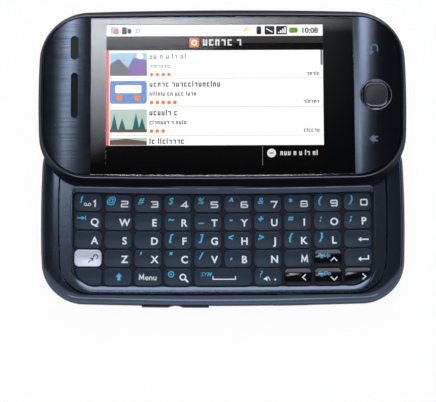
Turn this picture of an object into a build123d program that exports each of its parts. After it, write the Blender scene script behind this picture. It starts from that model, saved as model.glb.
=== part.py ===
from build123d import *
from math import atan, degrees
import os

# A landscape slider phone, slid open: the base lies on its back on z = 0 with its plan centre at the
# origin, X runs along the phone, +Y points from the keyboard to the lid, and +Z is out of the screen.
# All sizes are in millimetres. The lid's pieces are drawn about their own centre and moved by the
# slide's travel at the end.

# ---------------------------------------------------------------- clearances
slide_gap = 0.3              # air between the base and the lid
fit = 0.1                    # air beside a seated piece
seat = 0.02                  # air under a seated piece
running = 0.05               # air beside a piece that slides or turns
loose = 0.3                  # air beside a piece inside the housings

# ---------------------------------------------------------------- base
base_length = 107.8
base_width = 54.3
base_end_bow = 1.0
base_side_bow = 1.0
base_corner = 12.5
base_wall = 1.6
base_foot_inset = 2.6        # from the widest line in to the flat back
base_top_inset = 2.9         # and in to the flat top
back_profile = ((0.4, 1.4), (1.0, 0.7))         # (level, inset) of the back's round edge
split_inset = 0.2            # of the side at the battery cover's edge
top_profile = ((0.45, 0.2), (0.8, 0.95))        # (share of the frame's height, inset) of the top's round edge
cover_rim_height = 1.9       # the battery cover's edge above the table
cover_skin = 1.0
cover_wall = 0.9
cover_to_window = 4.2        # from the camera window to the battery cover's edge
cover_play = 0.3             # side air that lets the cover slide off
cover_gap = 0.15             # air between the cover's skin and the housing's floor
side_band = 3.9              # height of the rear housing's visible band
floor_thickness = 0.8

# ---------------------------------------------------------------- base: inner pieces
battery_thickness = 4.5
battery_to_shield = 2.75
battery_to_card = 3.0
battery_to_switch = 1.85
battery_corner = 1.0
well_wall = 0.8
deck_thickness = 0.45
board_thickness = 0.6
film_thickness = 0.1
dome_height = 0.22
dome_radius = 1.9
dome_top_radius = 1.1
mat_thickness = 0.3
mat_margin = 0.4             # the mat and the dome sheet, beyond the key field
shield_length = 10.5
shield_width = 28.0
shield_height = 1.8
shield_to_camera = 0.9
shield_edge = 0.3
card_length = 11.0
card_width = 12.0
card_height = 1.6
card_inset = 14.4            # from the base's end to the card holder's centre
card_to_speaker = 1.0
card_corner = 0.5

# ---------------------------------------------------------------- keyboard
columns = 10
row_count = 5
key_side_gap = 0.89          # between two keys in a row
key_row_gap = 0.45           # between two rows
key_corner = 1.45
key_edge = 0.25              # rounding of a cap's upper edge
cap_thickness = 0.65
key_travel = 0.25
key_below_panel = 0.13       # the panel stands this far above the keys and keeps the lid off them
key_gap = 0.12               # air between a cap and the lattice
lattice_thickness = 0.55
first_row_bow = 0.7          # how much higher a row's ends are than its middle: the digit row
last_row_bow = 0.3           # and the space bar's row
pad_end_margin = 4.195       # from the panel's end to the field
pad_near_margin = 2.2        # and from its near side
pad_border = 0.35            # lattice outside the outermost keys
pad_corner = 6.5
pad_top_corner = 0.8
field_ease = 0.05            # the corner keys' round corner is drawn this far outside their straight edges

# ---------------------------------------------------------------- panel round the keyboard
panel_end_margin = 5.6       # from the base's end to the panel
panel_side_margin = 3.05
panel_end_bow = 1.2
panel_side_bow = 0.5
panel_corner = 9.2
panel_thickness = 1.0
slope_far = 1.8              # width of the recess's slope on the lid's side
slope_near = 1.3
slope_side = 0.5
groove_width = 0.42
ledge_thickness = 0.9
ledge_width = 1.4

# ---------------------------------------------------------------- slide
shoe_length = 9.0
shoe_stem = 2.2
shoe_head = 4.4
shoe_head_thickness = 0.6
shoe_spacing = 60.0
slot_end = 1.25              # plate left beyond each end of a shoe's slot
bracket_end_margin = 11.3    # from the panel's end to the bracket
bracket_width = 13.0
bracket_past_shoe = 0.7
bracket_thickness = 0.55
plate_end_margin = 13.5      # from the lid's end to the slide plate
plate_side_margin = 3.8
slide_plate_thickness = 0.6
slide_plate_corner = 3.0
plate_lip = 1.0
flex_width = 9.0
flex_thickness = 0.15
flex_offset = 1.0            # from the shoes' centre line towards the keyboard
flex_reach = 23.0            # from the base's slot to where it meets the lid's board

# ---------------------------------------------------------------- lid
lid_overhang = 0.6           # how far the lid's ends stand past the base's
lid_setback = 0.55           # and how far its sides lie inside them, closed
lid_end_bow = 1.2
lid_side_bow = 1.0
lid_corner = 15.0
lid_widest_rise = 1.7        # from the lid back's top to the lid's widest line
lid_foot_inset = 1.6
lid_foot_profile = (0.45, 0.7)                  # (share of the lid back's height, inset) of its round edge
lid_split_inset = 0.2
lid_back_height = 1.4
rim_end_inset = 0.75         # from the lid's widest line in to the rim
rim_side_inset = 1.65
rim_end_bow = 1.2
rim_side_bow = 0.6
rim_corner = 13.6
rim_below_window = 0.4
rim_chamfer = 0.2
shoulder_drop = 1.1          # from the rim down to where the lid's side has flared a third of its way
rim_band = 0.95              # flat band between the rim and the front pieces
lid_board_thickness = 0.5
display_end_room = 2.8       # from the window's end in to the display
display_side_room = 1.8
display_thickness = 3.1
display_corner = 1.2
window_thickness = 1.15
window_edge = 0.15
crown_height = 0.55          # how far the end panels arch above the window
end_panel_width = 14.0
end_panel_thickness = 1.3
seam = 0.12                  # between the front pieces

# ---------------------------------------------------------------- lid details
slot_inset = 10.9            # from the lid's end to the centre line of both slots
grille_length = 13.6
grille_width = 2.1
grille_y = 0.1
sensor_length = 7.2
sensor_width = 2.4
sensor_y = 14.4
slot_recess = 0.5            # below the panel's crown
receiver_length = 12.0
receiver_width = 6.0
receiver_height = 2.6
receiver_corner = 0.8
nav_inset = 9.2              # from the lid's end to the button's centre
nav_ring_radius = 4.7
nav_ring_edge = 0.15
nav_length = 7.0
nav_height = 7.2
nav_corner = 2.6
nav_edge = 0.4
nav_travel = 0.35
nav_flange = 0.5
nav_flange_radius = 4.3
nav_switch_radius = 2.0

# ---------------------------------------------------------------- side keys, sockets and the camera
side_key_height = 2.4
side_key_proud = 0.42
power_key_proud = 0.1
side_key_play = 0.15
side_key_travel = 0.4
side_flange = 0.6            # thickness of the flange behind the wall
side_flange_edge = 0.7       # how far it reaches past the slot
rocker_length = 19.8
rocker_x = -14.1
rocker_dip_radius = 5.5
rocker_dip_depth = 0.45
rocker_setback = 0.1         # the bowed side lies this far in at the rocker
rocker_room = 0.35           # air behind the wall that lets the rocker tilt
camera_key_length = 9.0
camera_key_inset = 20.9      # from the base's end to the key's centre
power_key_length = 8.0
power_key_inset = 19.15      # from the base's side to the key's centre
switch_length = 3.6
switch_depth = 2.6
switch_room = 0.1            # past the key's travel
jack_radius = 1.8            # for a 3.5 mm plug
jack_depth = 14.0
jack_body = 4.6
jack_nozzle = 2.1
jack_end = 1.0
jack_foot = 1.2
jack_inset = 15.15           # from the base's side to the jack's centre
usb_x = 20.0
usb_width = 7.6
usb_height = 2.5
usb_depth = 5.0
usb_shell = 0.3
usb_tongue_width = 3.8
usb_cover_length = 10.0
usb_cover_height = 3.0
usb_cover_thickness = 0.9
camera_inset = 12.5
camera_size = 8.5
lens_radius = 2.6
lens_height = 1.2
camera_window_length = 17.0
camera_window_width = 8.4
camera_window_thickness = 0.85
flash_offset = 8.0
flash_size = 2.6
speaker_inset = 9.6
speaker_length = 15.0
speaker_width = 11.0
speaker_height = 3.4
speaker_corner = 1.5
speaker_slots = 5
speaker_slot_width = 0.9
speaker_slot_pitch = 2.0
speaker_slot_length = 9.0
motor_radius = 4.6
motor_thickness = 2.7
motor_inset = 13.4           # from the base's end to the motor's centre
motor_to_speaker = 1.9
screw_x_inset = 6.6
screw_y_inset = 8.6
screw_radius = 0.7
screw_head_radius = 1.25
screw_head_height = 0.6
screw_head_recess = 0.1
screw_grip = 0.7             # how far a screw reaches into the ledge
boss_radius = 1.7

# ---------------------------------------------------------------- sizes that follow
lid_length = base_length + 2 * lid_overhang
lid_width = base_width - 2 * lid_setback
rim_length = lid_length - 2 * rim_end_inset
rim_width = lid_width - 2 * rim_side_inset
window_length = rim_length - 2 * (rim_band + end_panel_width)
display_length = window_length - 2 * display_end_room
display_width = rim_width - 2 * (rim_band + display_side_room)
slide_plate_length = lid_length - 2 * plate_end_margin
slide_plate_width = lid_width - 2 * plate_side_margin
slide_travel = slide_plate_width - shoe_length - 2 * (running + slot_end)

panel_length = base_length - 2 * panel_end_margin
panel_width = base_width - 2 * panel_side_margin
pad_length = panel_length - 2 * pad_end_margin
pad_top = slide_travel - lid_width / 2 - slope_far
pad_bottom = pad_near_margin - panel_width / 2
column_pitch = (pad_length - 2 * pad_border + key_side_gap) / columns
row_pitch = (pad_top - pad_bottom - 2 * pad_border + key_row_gap) / row_count
key_width = column_pitch - key_side_gap
key_height = row_pitch - key_row_gap
first_row_y = pad_top - pad_border - key_height / 2

# ---------------------------------------------------------------- places in the plan
shoe_y = slide_travel / 2
shoe_places = (-shoe_spacing / 2, shoe_spacing / 2)
bracket_length = panel_length - 2 * bracket_end_margin
bracket_y = shoe_y + shoe_length / 2 + bracket_past_shoe - bracket_width / 2
flex_y = shoe_y - flex_offset
window_edge_x = window_length / 2
slot_x = -(lid_length / 2 - slot_inset)
nav_x = lid_length / 2 - nav_inset

camera_x = -(base_length / 2 - camera_inset)
cover_edge_x = camera_x + camera_window_width / 2 + cover_to_window
flash_y = -flash_offset
speaker_x = base_length / 2 - speaker_inset
card_x = base_length / 2 - card_inset
card_y = -(speaker_length / 2 + card_to_speaker + card_width / 2)
motor_x = base_length / 2 - motor_inset
motor_y = speaker_length / 2 + motor_to_speaker + motor_radius
shield_x = camera_x + camera_size / 2 + shield_to_camera + shield_length / 2
battery_start = shield_x + shield_length / 2 + battery_to_shield
battery_end = card_x - card_length / 2 - battery_to_card
battery_length = battery_end - battery_start
battery_x = (battery_start + battery_end) / 2
side_key_reach = base_wall + side_flange + side_key_travel + switch_room
battery_width = base_width - 2 * (base_side_bow + side_key_reach + switch_depth + battery_to_switch)
camera_key_x = base_length / 2 - camera_key_inset
power_key_y = power_key_inset - base_width / 2
jack_y = base_width / 2 - jack_inset
jack_mouth = -(base_length / 2 - base_end_bow)
usb_mouth = -(base_width / 2 - usb_cover_thickness - 3 * fit)
far = base_length            # beyond the phone on every side

# ---------------------------------------------------------------- levels, from the table up
z_floor = cover_skin + cover_gap
z_floor_top = z_floor + floor_thickness
z_battery = z_floor + seat
z_battery_top = z_battery + battery_thickness
z_deck = z_battery_top + fit
z_board = z_deck + deck_thickness + seat
z_board_top = z_board + board_thickness
z_film = z_board_top + seat
z_dome_top = z_film + film_thickness + dome_height
z_mat = z_dome_top + seat
z_mat_top = z_mat + mat_thickness
z_lattice = z_mat_top + seat
z_cap = z_mat_top + key_travel + running
z_key_top = z_cap + cap_thickness
z_base_top = z_key_top + key_below_panel
z_panel = z_base_top - panel_thickness
z_ledge_top = z_panel - seat
z_ledge = z_ledge_top - ledge_thickness
z_rear = cover_rim_height + running
z_parting = z_rear + side_band
z_sides = (z_rear + z_parting) / 2

z_lid = z_base_top + slide_gap
z_slide_plate = z_lid + running
z_slide_plate_top = z_slide_plate + slide_plate_thickness
z_shoe_head = z_slide_plate_top + running
z_shoe_head_top = z_shoe_head + shoe_head_thickness
z_lid_back_top = z_lid + lid_back_height
z_lid_board = z_shoe_head_top + loose
z_lid_board_top = z_lid_board + lid_board_thickness
z_display = z_lid_board_top + seat
z_display_top = z_display + display_thickness
z_window = z_display_top + fit
z_window_top = z_window + window_thickness
z_crown = z_window_top + crown_height
z_end_panel = z_window_top - end_panel_thickness
z_rim = z_window_top - rim_below_window
z_widest = z_lid_back_top + lid_widest_rise
z_nav_flange = z_end_panel - seat - nav_flange
z_jack = cover_skin + seat + jack_body / 2

parts = {}


# ---------------------------------------------------------------- shared shapes
def bowed(length, width, end_bow, side_bow, corner):
    """A rectangle whose ends and sides bow outwards, with round corners."""
    x, y = length / 2, width / 2
    cx, cy = x - end_bow, y - side_bow
    edges = [
        ThreePointArc((cx, -cy), (x, 0), (cx, cy)),
        ThreePointArc((cx, cy), (0, y), (-cx, cy)),
        ThreePointArc((-cx, cy), (-x, 0), (-cx, -cy)),
        ThreePointArc((-cx, -cy), (0, -y), (cx, -cy)),
    ]
    face = make_face(edges)
    return fillet(face.vertices(), corner)


def base_outline(inset):
    length, width = base_length - 2 * inset, base_width - 2 * inset
    return bowed(length, width, base_end_bow, base_side_bow, base_corner - inset)


def lid_outline(inset):
    length, width = lid_length - 2 * inset, lid_width - 2 * inset
    return bowed(length, width, lid_end_bow, lid_side_bow, lid_corner - inset)


def rim_outline(inset):
    length, width = rim_length - 2 * inset, rim_width - 2 * inset
    return bowed(length, width, rim_end_bow, rim_side_bow, rim_corner - inset)


def front_outline(inset):
    """The opening in the lid's frame that the front pieces fill."""
    return rim_outline(rim_band + inset)


def panel_outline(grow):
    length, width = panel_length + 2 * grow, panel_width + 2 * grow
    return bowed(length, width, panel_end_bow, panel_side_bow, panel_corner + grow)


def prism(sketch, low, high):
    """The sketch, from one level up to another."""
    return extrude(Plane.XY.offset(low) * sketch, high - low)


def block(x0, x1, y0, y1, z0, z1):
    """A box between two corners."""
    return Pos((x0 + x1) / 2, (y0 + y1) / 2, (z0 + z1) / 2) * Box(abs(x1 - x0), abs(y1 - y0), abs(z1 - z0))


def slab(x, y, length, width, low, high):
    """A box with its plan centred on a point."""
    return Pos(x, y, (low + high) / 2) * Box(length, width, high - low)


def lying(x0, x1, y, z, radius):
    """A cylinder along X."""
    return Pos((x0 + x1) / 2, y, z) * Rot(0, 90, 0) * Cylinder(radius, x1 - x0)


def post(x, y, radius, low, high):
    """An upright cylinder."""
    return Pos(x, y, (low + high) / 2) * Cylinder(radius, high - low)


def lofted(sections):
    """A smooth solid through (level, sketch) pairs."""
    return loft([(Plane.XY.offset(level) * sketch).face() for level, sketch in sections])


def pill(x, y, length, width):
    """An upright slot outline: long along Y."""
    return Pos(x, y) * Rot(0, 0, 90) * SlotOverall(length, width)


def key_field(grow_far, grow_near, grow_side):
    """The keyboard's field: its long edges bow towards the user, as the key rows do."""
    x = pad_length / 2 + grow_side
    far_y, near_y = pad_top + grow_far, pad_bottom - grow_near
    edges = [
        ThreePointArc((-x, near_y + last_row_bow), (0, near_y), (x, near_y + last_row_bow)),
        Line((x, near_y + last_row_bow), (x, far_y + first_row_bow)),
        ThreePointArc((x, far_y + first_row_bow), (0, far_y), (-x, far_y + first_row_bow)),
        Line((-x, far_y + first_row_bow), (-x, near_y + last_row_bow)),
    ]
    face = make_face(edges)
    corners = face.vertices().sort_by(Axis.Y)
    face = fillet(corners[:2], pad_corner + grow_side)
    return fillet(face.vertices().sort_by(Axis.Y)[-2:], pad_top_corner + max(grow_side, 0))


def screw_places():
    x, y = base_length / 2 - screw_x_inset, base_width / 2 - screw_y_inset
    return [(x, y), (-x, y), (x, -y), (-x, -y)]


# ---------------------------------------------------------------- the base's outer form
z_split = cover_rim_height + running / 2
lower_form = lofted(
    [(0, base_outline(base_foot_inset))]
    + [(level, base_outline(inset)) for level, inset in back_profile]
    + [(z_split, base_outline(split_inset))]
)
middle_form = lofted([(z_split, base_outline(split_inset)), (z_parting, base_outline(0))])
upper_form = lofted(
    [(z_parting, base_outline(0))]
    + [(z_parting + share * (z_base_top - z_parting), base_outline(inset)) for share, inset in top_profile]
    + [(z_base_top, base_outline(base_top_inset))]
)


# ---------------------------------------------------------------- openings shared by neighbours
def speaker_slot_cut(low, high):
    first = speaker_x - (speaker_slots - 1) / 2 * speaker_slot_pitch
    cuts = [
        prism(pill(first + n * speaker_slot_pitch, 0, speaker_slot_length, speaker_slot_width), low, high)
        for n in range(speaker_slots)
    ]
    return Compound(cuts)


def camera_window_outline(grow):
    return pill(camera_x, flash_y / 2, camera_window_length + 2 * grow, camera_window_width + 2 * grow)


def screw_cut():
    """The room for each housing screw, grown by the assembly clearance."""
    cuts = []
    for x, y in screw_places():
        head = z_floor if x > cover_edge_x else 0
        cuts.append(post(x, y, screw_radius + fit, 0, z_ledge + screw_grip + fit))
        cuts.append(post(x, y, screw_head_radius + fit, -1, head + screw_head_recess + screw_head_height))
    return Compound(cuts)


def side_key(outline_low, outline_high, flange_low, flange_high, room, stands=side_key_proud):
    """A key in the housing's wall: its outer face follows the base, and a flange holds it in."""
    proud = prism(base_outline(-stands), z_sides - side_key_height / 2, z_sides + side_key_height / 2)
    cap = proud & block(*outline_low, *outline_high, z_rear, z_parting)
    flange_face = base_wall + room
    ring = prism(base_outline(flange_face), z_rear, z_parting) - prism(
        base_outline(flange_face + side_flange), z_rear, z_parting
    )
    flange_half = side_key_height / 2 + side_flange_edge
    flange = ring & block(*flange_low, *flange_high, z_sides - flange_half, z_sides + flange_half)
    return cap + flange


# ---------------------------------------------------------------- base: housings
def make_battery_cover():
    cover = lower_form & block(cover_edge_x, far, -far, far, -1, cover_rim_height)
    cover = cover - prism(base_outline(cover_wall), cover_skin, z_rear)
    return cover - speaker_slot_cut(-1, cover_rim_height)


def make_rear_housing():
    split_x = cover_edge_x - fit
    band = middle_form & block(-far, far, -far, far, z_rear, z_parting)
    left_skin = lower_form & block(-far, split_x, -far, far, -1, z_split)
    left_step = middle_form & block(-far, split_x, -far, far, z_split, z_rear + seat)
    floor = prism(base_outline(cover_wall + cover_play), z_floor, z_rear + seat)
    cavity = prism(base_outline(base_wall), z_floor_top, z_parting + 1)
    shell = band + left_skin + left_step + floor - cavity
    left_room = prism(base_outline(base_wall), cover_skin, z_floor_top)
    shell = shell - (left_room & block(-far, split_x, -far, far, 0, z_parting))

    well_x, well_y = battery_length + 2 * fit, battery_width + 2 * fit
    wall_x, wall_y = well_x + 2 * well_wall, well_y + 2 * well_wall
    well = slab(battery_x, 0, wall_x, wall_y, z_floor, z_deck + deck_thickness)
    room = slab(battery_x, 0, well_x, well_y, 0, z_deck)
    for x, y in screw_places():
        low = z_floor if x > cover_edge_x else cover_skin / 2
        shell = shell + post(x, y, boss_radius, low, z_ledge - seat)
    shell = shell + well - room
    shell = shell - screw_cut()

    shell = shell - prism(camera_window_outline(fit), -1, cover_skin + seat)
    shell = shell - speaker_slot_cut(0, z_floor_top + 1)
    shell = shell - lying(-far, jack_mouth + 2 * base_wall, jack_y, z_jack, jack_nozzle + fit)
    return shell - side_openings()


def side_openings():
    """The holes in the side walls for the keys and the data socket."""
    half = side_key_height / 2 + side_key_play
    low, high = z_sides - half, z_sides + half
    rocker = rocker_length / 2 + side_key_play
    camera = camera_key_length / 2 + side_key_play
    power = power_key_length / 2 + side_key_play
    inner_y, inner_x = base_width / 2 - 2 * base_wall, base_length / 2 - 2 * base_wall
    flap, flap_z = usb_cover_length / 2 + fit, usb_cover_height / 2 + fit
    plug, plug_z = usb_width / 2 + fit, usb_height / 2 + fit
    return Compound(
        [
            block(rocker_x - rocker, rocker_x + rocker, -far, -inner_y, low, high),
            block(camera_key_x - camera, camera_key_x + camera, inner_y, far, low, high),
            block(-far, -inner_x, power_key_y - power, power_key_y + power, low, high),
            block(usb_x - flap, usb_x + flap, -far, usb_mouth - fit, z_sides - flap_z, z_sides + flap_z),
            block(usb_x - plug, usb_x + plug, -far, -inner_y, z_sides - plug_z, z_sides + plug_z),
        ]
    )


def make_front_frame():
    frame = upper_form & block(-far, far, -far, far, z_parting + seat, z_base_top)
    frame = frame - prism(panel_outline(groove_width), z_ledge_top, z_base_top + 1)
    frame = frame - prism(panel_outline(-ledge_width), z_parting, z_base_top + 1)
    frame = frame - prism(base_outline(base_wall), z_parting, z_ledge)
    return frame - screw_cut()


def make_keyboard_panel():
    panel = prism(panel_outline(0), z_panel, z_base_top)
    wide_field = key_field(slope_far, slope_near, slope_side)
    panel = panel - lofted([(z_panel - seat, key_field(0, 0, 0)), (z_base_top + seat, wide_field)])
    below, above = z_panel - 1, z_base_top + 1
    for x in shoe_places:
        panel = panel - slab(x, shoe_y, shoe_stem + 2 * fit, shoe_length + 2 * fit, below, above)
    return panel - flex_cut(below, above)


def flex_cut(low, high):
    return slab(0, flex_y, flex_width + 2 * loose, flex_thickness + 2 * loose, low, high)


# ---------------------------------------------------------------- base: inner pieces
def make_battery():
    body = slab(battery_x, 0, battery_length, battery_width, z_battery, z_battery_top)
    return fillet(body.edges().filter_by(Axis.Z), battery_corner)


def make_main_board():
    board = prism(panel_outline(-ledge_width - fit), z_board, z_board_top)
    for x, y in screw_places():
        board = board - post(x, y, boss_radius + fit, z_board - 1, z_board_top + 1)
    return board


def make_dome_sheet():
    sheet = prism(key_field(mat_margin, mat_margin, mat_margin), z_film, z_film + film_thickness)
    for x, y, turn, width in key_places().values():
        dome = Cone(dome_radius, dome_top_radius, dome_height, align=(Align.CENTER, Align.CENTER, Align.MIN))
        sheet = sheet + Pos(x, y, z_film + film_thickness) * dome
    return sheet


def make_key_mat():
    return prism(key_field(mat_margin, mat_margin, mat_margin), z_mat, z_mat_top)


def make_board_shield():
    can = slab(shield_x, 0, shield_length, shield_width, z_board - seat - shield_height, z_board - seat)
    return fillet(can.faces().sort_by(Axis.Z)[0].edges(), shield_edge)


def make_side_switches():
    """One small switch behind each end of the rocker and behind the two other side keys."""
    y_face = base_width / 2 - base_side_bow - side_key_reach
    x_face = base_length / 2 - base_end_bow - side_key_reach
    half = switch_length / 2
    top = z_board - seat
    low = z_sides - side_key_height / 2
    quarter = rocker_length / 4
    near = (-y_face, -y_face + switch_depth)
    return [
        block(rocker_x - quarter - half, rocker_x - quarter + half, *near, low, top),
        block(rocker_x + quarter - half, rocker_x + quarter + half, *near, low, top),
        block(camera_key_x - half, camera_key_x + half, y_face - switch_depth, y_face, low, top),
        block(-x_face, -x_face + switch_depth, power_key_y - half, power_key_y + half, low, top),
    ]


def make_card_holder():
    low = z_floor_top + seat
    holder = slab(card_x, card_y, card_length, card_width, low, low + card_height)
    return fillet(holder.edges().filter_by(Axis.Z), card_corner)


def make_camera_module():
    low = cover_skin + seat
    body = slab(camera_x, 0, camera_size, camera_size, low + lens_height, z_board - seat)
    return body + post(camera_x, 0, lens_radius, low, low + lens_height + seat)


def make_camera_window():
    low = cover_skin - camera_window_thickness - seat
    return prism(camera_window_outline(0), low, low + camera_window_thickness)


def make_flash_lamp():
    return slab(camera_x, flash_y, flash_size, flash_size, cover_skin + seat, z_board - seat)


def make_audio_jack():
    """The headphone socket: a nozzle through the end wall, a body and a foot under the board."""
    start, end = jack_mouth + base_wall, jack_mouth + jack_depth + jack_end
    middle, length = (start + end) / 2, end - start
    body = slab(middle, jack_y, length, jack_body, z_jack - jack_body / 2, z_jack + jack_body / 2)
    foot = slab(middle, jack_y, length, jack_foot, z_jack, z_board - seat)
    nozzle = lying(jack_mouth, start, jack_y, z_jack, jack_nozzle)
    return body + foot + nozzle - lying(jack_mouth, jack_mouth + jack_depth, jack_y, z_jack, jack_radius)


def make_usb_port():
    """The data socket: a shell with a tongue, and a foot under the board."""
    y, half = usb_mouth + usb_depth / 2, usb_height / 2
    shell = slab(usb_x, y, usb_width, usb_depth, z_sides - half, z_sides + half)
    room = half - usb_shell
    inside = slab(usb_x, y - usb_shell, usb_width - 2 * usb_shell, usb_depth, z_sides - room, z_sides + room)
    tongue = slab(usb_x, y, usb_tongue_width, usb_depth - usb_shell, z_sides - usb_shell, z_sides + usb_shell)
    foot = block(
        usb_x - usb_width / 2, usb_x + usb_width / 2,
        usb_mouth + base_wall, usb_mouth + usb_depth,
        z_sides + half - usb_shell, z_board - seat,
    )
    return shell - inside + tongue + foot


def make_usb_cover():
    start, end = usb_x - usb_cover_length / 2, usb_x + usb_cover_length / 2
    half = usb_cover_height / 2
    flap = block(start, end, -far, usb_mouth - 2 * fit, z_sides - half, z_sides + half)
    return flap & prism(base_outline(fit), z_rear, z_parting)


def make_loudspeaker():
    low = z_floor_top + seat
    body = slab(speaker_x, 0, speaker_width, speaker_length, low, low + speaker_height)
    return fillet(body.edges().filter_by(Axis.Z), speaker_corner)


def make_vibration_motor():
    low = z_floor_top + seat
    return post(motor_x, motor_y, motor_radius, low, low + motor_thickness)


def make_slide_bracket():
    """The plate under the panel, with two shoes that hold the lid's slide plate down."""
    top = z_panel - seat
    bracket = slab(0, bracket_y, bracket_length, bracket_width, top - bracket_thickness, top)
    for x in shoe_places:
        bracket = bracket + slab(x, shoe_y, shoe_stem, shoe_length, top - bracket_thickness, z_shoe_head_top)
        bracket = bracket + slab(x, shoe_y, shoe_head, shoe_length, z_shoe_head, z_shoe_head_top)
    return bracket - flex_cut(top - 1, top + 1)


def make_housing_screws():
    screws = []
    for x, y in screw_places():
        low = z_floor + screw_head_recess if x > cover_edge_x else screw_head_recess
        head = post(x, y, screw_head_radius, low, low + screw_head_height - 2 * seat)
        screws.append(head + post(x, y, screw_radius, low, z_ledge + screw_grip))
    return screws


# ---------------------------------------------------------------- base: keys in the side walls
def make_volume_rocker():
    half = rocker_length / 2
    edge_y = base_width / 2
    inner = edge_y - base_wall - base_side_bow - rocker_room
    reach = half + side_flange_edge
    rocker = side_key(
        (rocker_x - half, rocker_x + half), (-far, -inner),
        (rocker_x - reach, rocker_x + reach), (-edge_y, 0), rocker_room,
    )
    dip_y = -(edge_y + side_key_proud + rocker_dip_radius - rocker_dip_depth - rocker_setback)
    return rocker - post(rocker_x, dip_y, rocker_dip_radius, z_rear, z_parting)


def make_camera_key():
    half = camera_key_length / 2
    edge_y = base_width / 2
    inner = edge_y - base_wall - base_side_bow
    reach = half + side_flange_edge
    return side_key(
        (camera_key_x - half, camera_key_x + half), (inner, far),
        (camera_key_x - reach, camera_key_x + reach), (0, edge_y), running,
    )


def make_power_key():
    half = power_key_length / 2
    edge_x = base_length / 2
    inner = edge_x - base_wall - base_end_bow
    reach = half + side_flange_edge
    return side_key(
        (-far, -inner), (power_key_y - half, power_key_y + half),
        (-edge_x, 0), (power_key_y - reach, power_key_y + reach), running, power_key_proud,
    )


# ---------------------------------------------------------------- keyboard
def row_bow(row):
    return first_row_bow + (last_row_bow - first_row_bow) * row / (row_count - 1)


def key_place(row, column):
    """Centre and turn of a key: the rows bow towards the user at mid keyboard."""
    x = (column - (columns - 1) / 2) * column_pitch
    bow = row_bow(row)
    half = pad_length / 2
    y = first_row_y - row * row_pitch + bow * (x / half) ** 2
    slope = 2 * bow * x / half ** 2
    return x, y, degrees(atan(slope)), key_width


def key_places():
    """Every key by (row, column). The space bar takes two columns of the last row."""
    places = {(row, column): key_place(row, column) for row in range(row_count) for column in range(columns)}
    last = row_count - 1
    middle = columns // 2
    x, y, turn, width = key_place(last, middle - 0.5)
    places.pop((last, middle))
    places[(last, middle - 1)] = (x, y, turn, key_width + column_pitch)
    return places


def key_outline(place, grow):
    """A key's plan. The field's round corners cut the two keys that lie in them."""
    x, y, turn, width = place
    plan = RectangleRounded(width + 2 * grow, key_height + 2 * grow, key_corner + grow)
    plan = Pos(x, y) * Rot(0, 0, turn) * plan
    inset = grow - pad_border + field_ease
    at_field_corner = abs(x) + width > pad_length / 2 and y - key_height < pad_bottom
    return plan & key_field(inset, inset, inset) if at_field_corner else plan


def make_key(place):
    cap = prism(key_outline(place, 0), z_cap, z_key_top)
    return fillet(cap.faces().sort_by(Axis.Z)[-1].edges(), key_edge)


def make_key_lattice():
    web = key_field(-running, -running, -running)
    for place in key_places().values():
        web = web - key_outline(place, key_gap)
    return prism(web, z_lattice, z_lattice + lattice_thickness)


def make_keys():
    """Keys with their own joint by name, and letters and digits in half rows."""
    last = row_count - 1
    named = {
        "backspace_key": [(2, 9)],
        "function_key": [(3, 0)],
        "up_arrow_key": [(3, 8)],
        "enter_key": [(3, 9)],
        "blank_corner_key": [(last, 0)],
        "shift_key": [(last, 1)],
        "menu_key": [(last, 2)],
        "search_key": [(last, 3)],
        "space_bar": [(last, 4)],
        "full_stop_key": [(last, 6)],
        "left_arrow_key": [(last, 7)],
        "down_arrow_key": [(last, 8)],
        "right_arrow_key": [(last, 9)],
        "digit_keys_1_to_5": [(0, column) for column in range(0, 5)],
        "digit_keys_6_to_0": [(0, column) for column in range(5, 10)],
        "letter_keys_q_to_t": [(1, column) for column in range(0, 5)],
        "letter_keys_y_to_p": [(1, column) for column in range(5, 10)],
        "letter_keys_a_to_g": [(2, column) for column in range(0, 5)],
        "letter_keys_h_to_l": [(2, column) for column in range(5, 9)],
        "letter_keys_z_to_v": [(3, column) for column in range(1, 5)],
        "letter_keys_b_to_m": [(3, column) for column in range(5, 8)],
    }
    places = key_places()
    return {name: [make_key(places[spot]) for spot in spots] for name, spots in named.items()}


# ---------------------------------------------------------------- lid
def make_lid_form():
    share, inset = lid_foot_profile
    lower = lofted(
        [
            (z_lid, lid_outline(lid_foot_inset)),
            (z_lid + share * lid_back_height, lid_outline(inset)),
            (z_lid_back_top, lid_outline(lid_split_inset)),
        ]
    )
    middle = lofted([(z_lid_back_top, lid_outline(lid_split_inset)), (z_widest, lid_outline(0))])
    shoulder = bowed(
        (2 * lid_length + rim_length) / 3, (2 * lid_width + rim_width) / 3,
        lid_end_bow, lid_side_bow, (2 * lid_corner + rim_corner) / 3,
    )
    z_shoulder = z_rim - shoulder_drop
    upper = lofted([(z_widest, lid_outline(0)), (z_shoulder, shoulder), (z_rim, rim_outline(0))])
    rim = lofted([(z_rim, rim_outline(0)), (z_rim + rim_chamfer, rim_outline(rim_chamfer))])
    return lower, middle + upper + rim


def plate_outline(grow):
    length, width = slide_plate_length + 2 * grow, slide_plate_width + 2 * grow
    return RectangleRounded(length, width, slide_plate_corner + grow)


def make_lid_back(form):
    back = form & block(-far, far, -far, far, z_lid - 1, z_lid_back_top)
    back = back - prism(plate_outline(fit), z_lid - 1, z_slide_plate_top + seat)
    return back - prism(plate_outline(-plate_lip), z_lid - 1, z_lid_back_top + 1)


def make_lid_frame(form):
    frame = form & block(-far, far, -far, far, z_lid_back_top + seat, z_crown)
    return frame - prism(front_outline(0), z_lid, z_crown + 1)


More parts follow.
